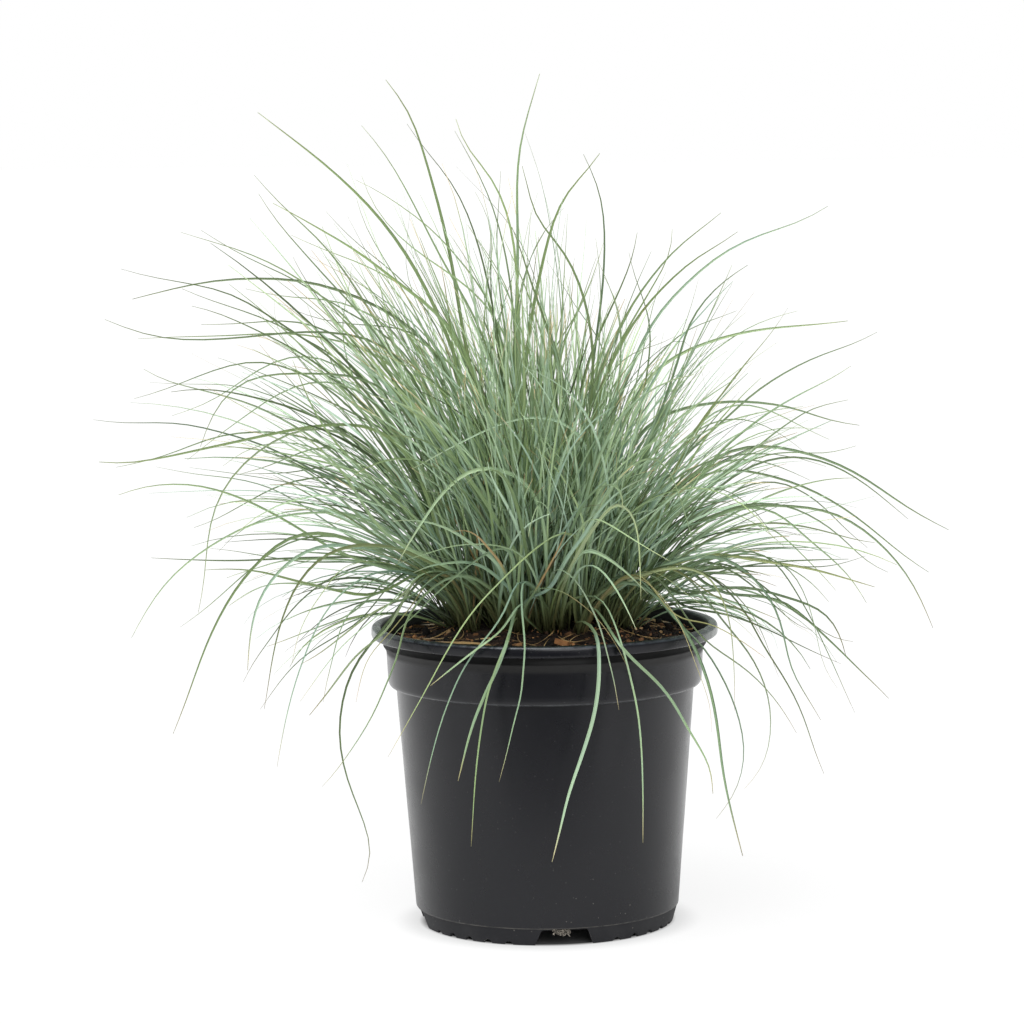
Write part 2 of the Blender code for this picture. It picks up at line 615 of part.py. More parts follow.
def grow_clump():
    """Give every shoot its leaves, so that no two leaves touch, and none touches the pot."""
    rng = random.Random(5)
    shoots = stand_shoots()
    share_out(shoots)
    thicket = Thicket()
    for shoot in shoots:
        halves = np.full(2, SHEATH_RADIUS * SHEATH_CLEARANCE)
        thicket.add(np.array([shoot.low, shoot.high]), halves, shoot.number)
    # a leaf of the outline keeps its tip in the photograph's plane and swings in depth to find room
    for shoot in shoots:
        for tip, lean, tip_lean, width in shoot.outline:
            for attempt in range(ATTEMPTS):
                swing = (attempt + 1) // 2 * (1 if attempt % 2 else -1)
                moved = tip + Vector((0.0, SWING * swing, 0.0))
                leaf = reaching_leaf(shoot.high, moved, lean + SWING_LEAN * swing, tip_lean, width)
                if take_root(leaf, shoot, thicket):
                    break
    for shoot in shoots:
        for attempt in range(ATTEMPTS):
            if len(shoot.leaves) == LEAVES_PER_SHOOT:
                break
            leaf = arching_leaf(shoot.high, shoot.azimuth + rng.uniform(-FILL_TURN, FILL_TURN),
                                lean=shoot.lean + rng.uniform(*FILL_LEAN),
                                length=rng.uniform(*FILL_LENGTH) * (1.0 - shoot.lean / FILL_LENGTH_LOSS),
                                droop=rng.uniform(*FILL_DROOP) + FILL_DROOP_PER_LEAN * shoot.lean,
                                width=rng.uniform(*FILL_WIDTH))
            take_root(leaf, shoot, thicket)
    print("leaves on the shoots:", sum(len(s.leaves) for s in shoots))
    return shoots


def add_leaf(bm, leaf, centre, rim_a, rim_b):
    """Grow a leaf out of one corner of the sheath's top: rings of three points, then the tip."""
    ring = [centre, rim_a, rim_b]
    stations = leaf.stations()
    across = (rim_b.co - rim_a.co).normalized()
    inward = centre.co - (rim_a.co + rim_b.co) / 2
    side = 1.0
    for k, t in enumerate(LEAF_RINGS, 1):
        at = stations[k]
        along = (stations[k + 1] - stations[k - 1]).normalized()
        across = (across - along * across.dot(along)).normalized()
        up = along.cross(across)
        if k == 1 and up.dot(inward) < 0:
            side = -1.0
        half = leaf.half_width(t)
        lift = up * side * half * LEAF_THICKNESS
        corners = (at + lift, at - lift - across * half, at - lift + across * half)
        new = [bm.verts.new(c) for c in corners]
        for m in range(3):
            n = (m + 1) % 3
            bm.faces.new((ring[m], ring[n], new[n], new[m]))
        ring = new
    tip = bm.verts.new(leaf.tip)
    for m in range(3):
        bm.faces.new((ring[m], ring[(m + 1) % 3], tip))


def build_shoot(shoot):
    """A sheath with its leaves growing from the corners of its top, in the order of their bearings."""
    bm = bmesh.new()
    leaves = sorted(shoot.leaves, key=shoot.bearing)
    sides = len(leaves)
    sector = 2 * math.pi / sides
    first = sum(shoot.bearing(leaf) - i * sector for i, leaf in enumerate(leaves)) / sides - sector / 2
    feet, rim = [], []
    for i in range(sides):
        angle = first + i * sector
        spoke = shoot.side_a * math.cos(angle) + shoot.side_b * math.sin(angle)
        flat = Vector((spoke.x, spoke.y, 0.0))
        feet.append(bm.verts.new(shoot.low + flat * SHEATH_RADIUS * SHEATH_FOOT_SHARE))
        rim.append(bm.verts.new(shoot.high + spoke * SHEATH_RADIUS))
    centre = bm.verts.new(shoot.high + shoot.stem * SHEATH_TOP_RISE)
    bm.faces.new(feet)
    for i in range(sides):
        j = (i + 1) % sides
        bm.faces.new((feet[i], feet[j], rim[j], rim[i]))
        add_leaf(bm, leaves[i], centre, rim[i], rim[j])
    bmesh.ops.triangulate(bm, faces=bm.faces)
    colour = LEAF_COLOURS[shoot.number % len(LEAF_COLOURS)]
    mat = material(f"leaf_{shoot.number:02d}", colour, LEAF_ROUGHNESS)
    return new_object(f"shoot_{shoot.number:02d}", bm, mat)


def main():
    clear_scene()
    build_pot()
    build_soil()
    build_bark_chips()
    build_fallen_leaves()
    build_roots()
    for shoot in grow_clump():
        build_shoot(shoot)


main()
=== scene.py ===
# %% [markdown]
# # A potted three-awn grass
# Three-awn is a clump-forming grass. Hundreds of narrow blue-green leaves rise from a crown about as wide
# as a hand and arch out on every side, and here it still stands in the black pot that it was sold in.
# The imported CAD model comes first, as the fixed frame that every piece of this lesson is fitted to.

# %% Load the frame
import math
import random

import bpy
import numpy as np
from mathutils import Matrix, Vector


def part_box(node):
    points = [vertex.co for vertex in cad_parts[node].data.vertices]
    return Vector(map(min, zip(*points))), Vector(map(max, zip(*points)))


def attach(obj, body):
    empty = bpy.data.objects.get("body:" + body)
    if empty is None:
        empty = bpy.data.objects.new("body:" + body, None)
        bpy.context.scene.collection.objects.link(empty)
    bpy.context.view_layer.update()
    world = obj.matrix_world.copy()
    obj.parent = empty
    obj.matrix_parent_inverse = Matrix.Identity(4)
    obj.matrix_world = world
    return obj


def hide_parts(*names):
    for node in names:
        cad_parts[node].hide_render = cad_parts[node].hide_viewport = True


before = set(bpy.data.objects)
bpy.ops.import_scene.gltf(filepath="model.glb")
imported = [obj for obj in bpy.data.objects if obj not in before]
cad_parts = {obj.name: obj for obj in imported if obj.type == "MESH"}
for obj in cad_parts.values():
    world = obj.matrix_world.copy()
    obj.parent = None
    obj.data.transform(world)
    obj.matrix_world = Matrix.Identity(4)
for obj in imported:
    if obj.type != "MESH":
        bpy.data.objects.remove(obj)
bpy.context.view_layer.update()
MM = 0.001
pot_low, pot_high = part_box("pot")
print("CAD nodes:", len(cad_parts))
print("pot from", tuple(round(v, 4) for v in pot_low), "to", tuple(round(v, 4) for v in pot_high))

# %% [markdown]
# ## The camera
# The photograph was taken from a little above the rim, with a long lens that keeps the pot's sides almost
# straight. Its place was worked out from the rim's ellipse, the foot's ellipse and the pot's width, and it
# was held a little askew, because the pot leans by two thirds of a degree in the picture. With the camera
# known, any pixel of the photograph can be turned back into a place in the scene, as long as
# somebody says how far in front of the pot's axis it lies. The leaves are placed that way further down.

# %% Set the camera
CAMERA_AT = Vector((-0.02066, -2.500, 0.5450))
CAMERA_PITCH = 0.108
CAMERA_ROLL = math.radians(-0.67)
FOCAL_PIXELS = 3796.1
PHOTO_SIDE = 1024

camera = bpy.data.objects.new("camera", bpy.data.cameras.new("camera"))
bpy.context.scene.collection.objects.link(camera)
camera.location = CAMERA_AT
level = Matrix.Rotation(math.pi / 2 - CAMERA_PITCH, 3, "X")
camera.rotation_euler = (level @ Matrix.Rotation(CAMERA_ROLL, 3, "Z")).to_euler()
camera.data.sensor_width = 36.0
camera.data.lens = FOCAL_PIXELS * 36.0 / PHOTO_SIDE
camera.data.clip_end = 60.0
bpy.context.scene.camera = camera


def behind_pixels(pixels, near):
    """The places in metres that pixels of the photograph show, each near metres before the pot's axis."""
    pixels = np.asarray(pixels, float)
    right = (pixels[:, 0] - PHOTO_SIDE / 2) / FOCAL_PIXELS
    up = (PHOTO_SIDE / 2 - pixels[:, 1]) / FOCAL_PIXELS
    u = right * math.cos(CAMERA_ROLL) - up * math.sin(CAMERA_ROLL)
    v = right * math.sin(CAMERA_ROLL) + up * math.cos(CAMERA_ROLL)
    sine, cosine = math.sin(CAMERA_PITCH), math.cos(CAMERA_PITCH)
    ray = np.stack([u, cosine + v * sine, v * cosine - sine], 1)
    reach = (-CAMERA_AT.y - near) / ray[:, 1]
    return np.array(CAMERA_AT) + ray * reach[:, None]


print("the rim's left end shows", behind_pixels([(371.0, 631.0)], np.array([0.0])).round(4))

# %% [markdown]
# ## Light and floor
# The picture is a bright studio shot: a white floor that melts into a white ground, soft light from above
# and from the front, and hardly any shadow. The camera sees a pure white world, but the world lights the
# object less than it shows, so that the depth of the clump stays dark. A sun with a very wide angle acts as
# one huge softbox that doesn't fall off with distance. To the camera the floor glows a little, as a lit
# table does, so that it stays white. Its glow is turned down near the pot's foot and off under the pot,
# which paints a pale contact shadow round the foot and shade under it.

# %% Make the world, the lights and the floor
LIGHT_FROM_WORLD = 0.42
SEEN_IN_REFLECTIONS = 0.10

bpy.context.scene.view_settings.view_transform = "Standard"
world = bpy.data.worlds.new("studio")
bpy.context.scene.world = world
world.use_nodes = True
tree = world.node_tree
tree.nodes.clear()
out = tree.nodes.new("ShaderNodeOutputWorld")
seen = tree.nodes.new("ShaderNodeBackground")
seen.inputs["Color"].default_value = (1.0, 1.0, 1.0, 1.0)
seen.inputs["Strength"].default_value = 1.0
lit = tree.nodes.new("ShaderNodeBackground")
lit.inputs["Color"].default_value = (0.98, 0.99, 1.0, 1.0)
lit.inputs["Strength"].default_value = LIGHT_FROM_WORLD
path = tree.nodes.new("ShaderNodeLightPath")
either = tree.nodes.new("ShaderNodeMath")
either.operation = "MAXIMUM"
tree.links.new(path.outputs["Is Camera Ray"], either.inputs[0])
mirrored = tree.nodes.new("ShaderNodeMath")
mirrored.operation = "MULTIPLY"
mirrored.inputs[1].default_value = SEEN_IN_REFLECTIONS
tree.links.new(path.outputs["Is Glossy Ray"], mirrored.inputs[0])
tree.links.new(mirrored.outputs[0], either.inputs[1])
pick = tree.nodes.new("ShaderNodeMixShader")
tree.links.new(either.outputs[0], pick.inputs[0])
tree.links.new(lit.outputs[0], pick.inputs[1])
tree.links.new(seen.outputs[0], pick.inputs[2])
tree.links.new(pick.outputs[0], out.inputs["Surface"])


def soft_sun(name, come_from, strength, angle):
    """A sun lamp that shines from a point towards the clump, with soft shadows."""
    lamp = bpy.data.objects.new(name, bpy.data.lights.new(name, "SUN"))
    bpy.context.scene.collection.objects.link(lamp)
    lamp.location = come_from
    look_along = Vector((0.0, 0.0, 0.25)) - Vector(come_from)
    lamp.rotation_euler = look_along.to_track_quat("-Z", "Y").to_euler()
    lamp.data.energy = strength
    lamp.data.angle = math.radians(angle)
    return lamp


soft_sun("overhead", (-0.5, -0.9, 2.6), 3.0, 45.0)
soft_sun("front", (0.7, -2.4, 1.5), 1.2, 40.0)

bpy.ops.object.select_all(action="DESELECT")
bpy.ops.mesh.primitive_plane_add(size=60.0, location=(0.0, 0.0, 0.0))
floor = bpy.context.object
floor.name = "studio_floor"
paper = bpy.data.materials.new("white_floor")
paper.use_nodes = True
paper_tree = paper.node_tree
paper_shader = paper_tree.nodes["Principled BSDF"]
paper_shader.inputs["Roughness"].default_value = 0.9


def paper_node(kind, inputs, **settings):
    """A node of the floor's material. Its inputs are values or the outputs of other nodes."""
    new = paper_tree.nodes.new(kind)
    for name, value in settings.items():
        setattr(new, name, value)
    for key, value in inputs.items():
        if isinstance(value, bpy.types.NodeSocket):
            paper_tree.links.new(value, new.inputs[key])
        else:
            new.inputs[key].default_value = value
    return new


GLOW = 0.84
GLOW_IN_CONTACT_SHADOW = 0.66
MIRRORED_GLOW = 0.33
place = paper_node("ShaderNodeTexCoord", {}).outputs["Object"]
rays = paper_node("ShaderNodeLightPath", {}).outputs
far_out = paper_node("ShaderNodeVectorMath", {0: place}, operation="LENGTH").outputs["Value"]
# painted contact shadow: no glow under the pot, and less glow within about two centimetres of its foot
under = paper_node("ShaderNodeMapRange", {"Value": far_out, "From Min": 0.080, "From Max": 0.086}).outputs[0]
painted_contact_shadow = paper_node("ShaderNodeMapRange", {"Value": far_out, "From Min": 0.084, "From Max": 0.106,
                                         "To Min": GLOW_IN_CONTACT_SHADOW, "To Max": GLOW},
                  interpolation_type="SMOOTHSTEP").outputs[0]
glow = paper_node("ShaderNodeMath", {0: under, 1: painted_contact_shadow}, operation="MULTIPLY").outputs[0]
glow = paper_node("ShaderNodeMath", {0: glow, 1: rays["Is Camera Ray"]}, operation="MULTIPLY").outputs[0]

# painted reflection: to glossy rays only, the floor is light on both sides of the pot and dark where the
# viewer stands, so the pot mirrors a dark front
x, y = paper_node("ShaderNodeSeparateXYZ", {0: place}).outputs[:2]
ahead = paper_node("ShaderNodeMapRange", {"Value": y, "From Min": -0.24, "From Max": -0.72}).outputs[0]
slope = paper_node("ShaderNodeMath", {0: x, 1: y}, operation="DIVIDE").outputs[0]
slope = paper_node("ShaderNodeMath", {0: slope}, operation="ABSOLUTE").outputs[0]
middle = paper_node("ShaderNodeMapRange", {"Value": slope, "From Min": 1.05, "From Max": 0.30}).outputs[0]
dark = paper_node("ShaderNodeMath", {0: ahead, 1: middle}, operation="MULTIPLY").outputs[0]
dark = paper_node("ShaderNodeMath", {0: dark, 1: rays["Is Glossy Ray"]}, operation="MULTIPLY").outputs[0]
lit = paper_node("ShaderNodeMath", {0: rays["Is Glossy Ray"], 1: dark}, operation="SUBTRACT",
                 use_clamp=True).outputs[0]
lit = paper_node("ShaderNodeMath", {0: lit, 1: MIRRORED_GLOW}, operation="MULTIPLY").outputs[0]
glow = paper_node("ShaderNodeMath", {0: glow, 1: lit}, operation="ADD").outputs[0]

# what the camera sees is mostly the paper's own light, so that shadows stay as pale as in the photograph
seen_tone = paper_node("ShaderNodeMapRange", {"Value": rays["Is Camera Ray"],
                                              "To Min": 0.74, "To Max": 0.12}).outputs[0]
mirror_tone = paper_node("ShaderNodeMapRange", {"Value": dark, "To Min": 0.62, "To Max": 0.03}).outputs[0]
tone = paper_node("ShaderNodeMix", {0: rays["Is Glossy Ray"], 2: seen_tone, 3: mirror_tone}).outputs[0]
paper_tree.links.new(tone, paper_shader.inputs["Base Color"])
paper_tree.links.new(glow, paper_shader.inputs["Emission Strength"])
paper_shader.inputs["Emission Color"].default_value = (1.0, 1.0, 1.0, 1.0)
floor.data.materials.append(paper)

# %% [markdown]
# ## Small helpers
# Every piece is finished in the same way: it sits at the origin with its place in its mesh, it has one
# material, and it rides on the one body of this object, because nothing here moves by a joint.

# %% Helpers for finishing a piece
PIECES = []


def select_only(obj):
    """Deselect everything and make one object the active one."""
    bpy.ops.object.select_all(action="DESELECT")
    obj.select_set(True)
    bpy.context.view_layer.objects.active = obj


def settle(obj, name, material, replaces=()):
    """Bake an object's place into its mesh, name it, dress it and let it ride on the object's body."""
    select_only(obj)
    bpy.ops.object.transform_apply(location=True, rotation=True, scale=True)
    obj.name = name
    obj.data.name = name
    obj.data.materials.clear()
    obj.data.materials.append(material)
    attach(obj, "root")
    if replaces:
        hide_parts(*replaces)
    PIECES.append(name)
    obj.data.calc_loop_triangles()
    print(f"{name}: {len(obj.data.loop_triangles)} triangles")
    return obj


def apply_modifier(obj, kind, name, **settings):
    """Add a modifier, set it up and apply it at once."""
    modifier = obj.modifiers.new(name, kind)
    for key, value in settings.items():
        setattr(modifier, key, value)
    select_only(obj)
    bpy.ops.object.modifier_apply(modifier=name)


# %% [markdown]
# ## Shader groups
# Dust, specks and grain turn up on several surfaces, so they are made once as node groups that put out
# masks, and each material decides what the mask does to its colour and its roughness.

# %% Build the shader groups


def shader_group(name, inputs, outputs):
    """An empty shader node group with named sockets, its input node and its output node."""
    group = bpy.data.node_groups.new(name, "ShaderNodeTree")
    for label, kind, value in inputs:
        socket = group.interface.new_socket(label, in_out="INPUT", socket_type=kind)
        if value is not None:
            socket.default_value = value
    for label, kind in outputs:
        group.interface.new_socket(label, in_out="OUTPUT", socket_type=kind)
    return group, group.nodes.new("NodeGroupInput"), group.nodes.new("NodeGroupOutput")


def node(tree, kind, inputs=None, **settings):
    """Add a node, set its own settings, then link or fill its inputs."""
    made = tree.nodes.new(kind)
    for key, value in settings.items():
        setattr(made, key, value)
    for key, value in (inputs or {}).items():
        if isinstance(value, bpy.types.NodeSocket):
            tree.links.new(value, made.inputs[key])
        else:
            made.inputs[key].default_value = value
    return made


def scatter_group():
    """Small spots where a cell's random value is high: dust specks, grains and flecks."""
    group, given, result = shader_group(
        "specks",
        [("Vector", "NodeSocketVector", None), ("Scale", "NodeSocketFloat", 400.0),
         ("Size", "NodeSocketFloat", 0.25), ("Share", "NodeSocketFloat", 0.2)],
        [("Mask", "NodeSocketFloat")])
    cells = node(group, "ShaderNodeTexVoronoi", {"Vector": given.outputs["Vector"],
                                                 "Scale": given.outputs["Scale"], "Randomness": 1.0})
    split = node(group, "ShaderNodeSeparateColor", {"Color": cells.outputs["Color"]})
    chosen = node(group, "ShaderNodeMath", {0: split.outputs["Red"], 1: given.outputs["Share"]},
                  operation="LESS_THAN")
    size = node(group, "ShaderNodeMath", {0: given.outputs["Size"], 1: split.outputs["Green"]},
                operation="MULTIPLY")
    inside = node(group, "ShaderNodeMath", {0: cells.outputs["Distance"], 1: size.outputs[0]},
                  operation="LESS_THAN")
    both = node(group, "ShaderNodeMath", {0: chosen.outputs[0], 1: inside.outputs[0]}, operation="MULTIPLY")
    group.links.new(both.outputs[0], result.inputs["Mask"])
    return group


def clouds_group():
    """Soft patches between two limits, for dust films, stains and slow changes of colour."""
    group, given, result = shader_group(
        "patches",
        [("Vector", "NodeSocketVector", None), ("Scale", "NodeSocketFloat", 20.0),
         ("Detail", "NodeSocketFloat", 4.0), ("Low", "NodeSocketFloat", 0.4),
         ("High", "NodeSocketFloat", 0.7)],
        [("Mask", "NodeSocketFloat")])
    noise = node(group, "ShaderNodeTexNoise", {"Vector": given.outputs["Vector"],
                                               "Scale": given.outputs["Scale"],
                                               "Detail": given.outputs["Detail"]})
    spread = node(group, "ShaderNodeMapRange", {"Value": noise.outputs["Fac"],
                                                "From Min": given.outputs["Low"],
                                                "From Max": given.outputs["High"]})
    group.links.new(spread.outputs["Result"], result.inputs["Mask"])
    return group


SPECKS = scatter_group()
PATCHES = clouds_group()
print("shader groups:", [g.name for g in bpy.data.node_groups])


def new_material(name, roughness):
    """A material with its tree, its Principled shader and Object coordinates at hand."""
    material = bpy.data.materials.new(name)
    material.use_nodes = True
    tree = material.node_tree
    shader = tree.nodes["Principled BSDF"]
    shader.inputs["Roughness"].default_value = roughness
    place = tree.nodes.new("ShaderNodeTexCoord").outputs["Object"]
    return material, tree, shader, place


def group_node(tree, group, inputs):
    """Place a shared group in a material's tree with its own values."""
    made = tree.nodes.new("ShaderNodeGroup")
    made.node_tree = group
    for key, value in inputs.items():
        if isinstance(value, bpy.types.NodeSocket):
            tree.links.new(value, made.inputs[key])
        else:
            made.inputs[key].default_value = value
    return made


def mixed(tree, factor, first, second, blend="MIX"):
    """Mix two colours, each a socket or an RGB triple, and hand back the result's socket."""
    mix = tree.nodes.new("ShaderNodeMix")
    mix.data_type = "RGBA"
    mix.blend_type = blend
    for key, value in ((0, factor), (6, first), (7, second)):
        if isinstance(value, bpy.types.NodeSocket):
            tree.links.new(value, mix.inputs[key])
        elif key == 0:
            mix.inputs[key].default_value = value
        else:
            mix.inputs[key].default_value = (*value, 1.0)
    return mix.outputs[2]


def times(tree, first, second):
    """Multiply two numbers, each a socket or a value."""
    return node(tree, "ShaderNodeMath", {0: first, 1: second}, operation="MULTIPLY").outputs[0]


def add_bump(tree, shader, noise, strength, distance):
    """Let a noise node raise and lower the surface by a distance in metres."""
    bump = node(tree, "ShaderNodeBump", {"Strength": strength, "Distance": distance,
                                         "Height": noise.outputs["Fac"]})
    tree.links.new(bump.outputs[0], shader.inputs["Normal"])


# %% [markdown]
# ## The pot
# A nursery pot is moulded in one piece from recycled black plastic. From the top it has a rolled lip, a
# dark neck under it, a bevel, a collar band, a long tapered wall and a foot skirt with drain notches.
# Such a turned shape could be a spun outline or a boolean of cones. Here a circle is pulled up ring by
# ring in edit mode, as it would be by hand: each pull is one extrude and one resize, so every ring of the
# outline can be read in one list. The neck leans inwards a little, so that it mirrors the lip's underside
# and not the bright room, and stays as dark as a real groove.

# %% List the pot's rings
POT_SIDES = 160
# radius and height in millimetres, from the underside of the floor out, up the outside and down the inside
OUTSIDE_RINGS = [
    (80.6, 9.0), (81.6, 8.2), (81.9, 0.7), (82.2, 0.1), (83.3, 0.0), (84.0, 0.3), (84.3, 1.2),
    (86.6, 9.6), (86.9, 10.9), (87.0, 11.3), (87.5, 11.5), (87.75, 11.9), (87.85, 12.6),
    (88.5, 21.0), (89.6, 36.0), (91.1, 56.0), (92.7, 76.0), (94.2, 96.0), (95.7, 116.0), (97.3, 136.0),
    (98.6, 154.0), (98.95, 158.9), (99.3, 159.3), (101.6, 159.6), (102.9, 160.2), (103.8, 161.4),
    (104.2, 163.2), (104.4, 166.0), (104.8, 174.5), (105.15, 181.5), (105.3, 183.2), (105.7, 184.1),
    (106.8, 185.8), (107.3, 186.5), (107.3, 187.0), (106.5, 188.2), (105.9, 191.5),
    (106.6, 192.1), (108.2, 192.3), (112.9, 192.3), (114.1, 192.5), (114.7, 193.0), (114.95, 193.8),
    (115.0, 194.8), (114.95, 197.2),
    (114.8, 198.2), (114.45, 198.9), (113.9, 199.45), (113.1, 199.75), (112.0, 199.9), (110.8, 200.0),
]
INSIDE_RINGS = [
    (109.6, 199.7), (109.0, 199.1), (108.6, 198.0), (107.2, 196.0), (105.8, 193.5), (105.0, 191.0),
    (104.9, 187.2), (104.2, 185.2), (103.9, 183.6), (103.0, 164.0), (97.7, 160.6), (96.0, 136.0),
    (86.3, 11.6), (84.8, 11.0),
]
print("rings up the pot:", len(OUTSIDE_RINGS) + len(INSIDE_RINGS))

# %% Pull the pot up ring by ring


def pull_rings(rings, sides):
    """Start from a circle and extrude it from ring to ring, each given as radius and height in mm."""
    bpy.ops.object.select_all(action="DESELECT")
    radius, height = rings[0]
    bpy.ops.mesh.primitive_circle_add(vertices=sides, radius=radius * MM, fill_type="NGON",
                                      location=(0.0, 0.0, height * MM))
    obj = bpy.context.object
    bpy.ops.object.transform_apply(location=True, rotation=True, scale=True)
    bpy.ops.object.mode_set(mode="EDIT")
    bpy.ops.mesh.select_mode(type="EDGE")
    bpy.ops.mesh.select_all(action="SELECT")
    bpy.ops.mesh.region_to_loop()
    for (r0, z0), (r1, z1) in zip(rings, rings[1:]):
        bpy.ops.mesh.extrude_edges_move(TRANSFORM_OT_translate={"value": (0.0, 0.0, (z1 - z0) * MM)})
        bpy.ops.transform.resize(value=(r1 / r0, r1 / r0, 1.0))
    return obj


pot = pull_rings(OUTSIDE_RINGS + INSIDE_RINGS, POT_SIDES)
bpy.ops.mesh.edge_face_add()
bpy.ops.mesh.select_all(action="SELECT")
bpy.ops.mesh.normals_make_consistent(inside=False)
bpy.ops.object.mode_set(mode="OBJECT")
print("pot:", len(pot.data.vertices), "vertices, height", round(pot.dimensions.z, 4))

# %% [markdown]
# The foot skirt stands on the floor between its notches. Four wide notches, a quarter turn apart, let
# water out and show the soil inside, and between them are small half-round ones. Each notch is one block
# or one rod, modelled once, turned to its place and cut away by a boolean.

# %% Cut the drain notches
NOTCH_FIRST = math.radians(277.0)
SMALL_TURNS = (25.0, 35.0, 45.0, 55.0, 65.0)


def wide_notch_block():
    """A block that is wider at the foot, with its two upper edges rounded."""
    bpy.ops.object.select_all(action="DESELECT")
    bpy.ops.mesh.primitive_cube_add(size=1.0, location=(86.0 * MM, 0.0, 4.6 * MM))
    block = bpy.context.object
    block.dimensions = (14.0 * MM, 30.0 * MM, 13.4 * MM)
    bpy.ops.object.transform_apply(location=True, rotation=True, scale=True)
    bpy.ops.object.mode_set(mode="EDIT")
    bpy.ops.mesh.select_mode(type="FACE")
    bpy.ops.mesh.select_all(action="DESELECT")
    bpy.ops.object.mode_set(mode="OBJECT")
    for face in block.data.polygons:
        face.select = face.normal.z < -0.9
    bpy.ops.object.mode_set(mode="EDIT")
    bpy.ops.transform.resize(value=(1.0, 1.32, 1.0))
    bpy.ops.mesh.select_mode(type="EDGE")
    bpy.ops.mesh.select_all(action="DESELECT")
    bpy.ops.object.mode_set(mode="OBJECT")
    for edge in block.data.edges:
        a, b = (block.data.vertices[i].co for i in edge.vertices)
        edge.select = min(a.z, b.z) > 10.0 * MM and abs(a.y - b.y) < 1.0 * MM
    bpy.ops.object.mode_set(mode="EDIT")
    bpy.ops.mesh.bevel(offset=2.4 * MM, segments=4, affect="EDGES")
    bpy.ops.object.mode_set(mode="OBJECT")
    return block


def small_notch_rod():
    """A short rod that lies along the pot's radius at floor level, so that it cuts a half round."""
    bpy.ops.object.select_all(action="DESELECT")
    bpy.ops.mesh.primitive_cylinder_add(vertices=20, radius=3.0 * MM, depth=14.0 * MM,
                                        location=(84.0 * MM, 0.0, 0.0), rotation=(0.0, math.pi / 2, 0.0))
    rod = bpy.context.object
    bpy.ops.object.transform_apply(location=True, rotation=True, scale=True)
    return rod


def turned_copy(obj, angle, stretch=1.0):
    """A copy with its own mesh, turned about the pot's axis."""
    copy = obj.copy()
    copy.data = obj.data.copy()
    bpy.context.scene.collection.objects.link(copy)
    copy.rotation_euler.z = angle
    copy.scale.z = stretch
    return copy


block = wide_notch_block()
rod = small_notch_rod()
cutters = []
for quarter in range(4):
    turn = NOTCH_FIRST + quarter * math.pi / 2
    cutters.append(turned_copy(block, turn))
    for number, step in enumerate(SMALL_TURNS):
        cutters.append(turned_copy(rod, turn + math.radians(step), 0.8 + 0.12 * (number * 3 % 4)))
bpy.ops.object.select_all(action="DESELECT")
for cutter in cutters:
    cutter.select_set(True)
bpy.context.view_layer.objects.active = cutters[0]
bpy.ops.object.join()
notches = bpy.context.object
apply_modifier(pot, "BOOLEAN", "notches", operation="DIFFERENCE", object=notches, solver="EXACT")
for spare in (notches, block, rod):
    bpy.data.objects.remove(spare, do_unlink=True)
select_only(pot)
bpy.ops.object.shade_smooth_by_angle(angle=math.radians(32))
print("pot after cutting:", len(pot.data.polygons), "faces")

# %% [markdown]
# Recycled black plastic isn't evenly black. It is full of fine pale flecks, it has a satin sheen that
# turns pale where it is seen edge-on, and potting has left dust round the foot. Pale lines along its edges
# are painted highlights with some wear, and are listed by their height, half width, share and colour. The
# rim's two ends get a painted pale highlight with some dust, and the inside and the neck get painted shade.
# The plastic is kept very dark, because the white studio adds its own light to it.

# %% Make the pot's plastic
EDGE_HIGHLIGHTS_AND_WEAR = [
    (199.0, 1.1, 0.50, (0.075, 0.090, 0.105)),
    (192.7, 0.7, 0.40, (0.05, 0.05, 0.055)),
    (185.4, 2.4, 1.00, (0.100, 0.104, 0.116)),
    (160.3, 0.9, 0.60, (0.09, 0.095, 0.10)),
    (11.7, 0.6, 0.40, (0.16, 0.15, 0.13)),
]


def between(tree, value, low, high):
    """A smooth mask that is 0 at low and 1 at high. High may be less than low."""
    return node(tree, "ShaderNodeMapRange", {"Value": value, "From Min": low, "From Max": high},
                interpolation_type="SMOOTHSTEP").outputs[0]


def line_at(tree, height, middle, half):
    """A mask that is 1 at one height of the pot and fades out half a width above and below it."""
    apart = node(tree, "ShaderNodeMath", {0: height, 1: middle * MM}, operation="SUBTRACT").outputs[0]
    apart = node(tree, "ShaderNodeMath", {0: apart}, operation="ABSOLUTE").outputs[0]
    return between(tree, apart, half * MM, 0.2 * half * MM)


def patches_at(tree, place, scale, detail, low, high):
    """The mask of the patches group, at one scale and between two limits."""
    values = {"Vector": place, "Scale": scale, "Detail": detail, "Low": low, "High": high}
    return group_node(tree, PATCHES, values).outputs[0]


def specks_at(tree, place, scale, size, share):
    """The mask of the specks group, at one scale."""
    values = {"Vector": place, "Scale": scale, "Size": size, "Share": share}
    return group_node(tree, SPECKS, values).outputs["Mask"]


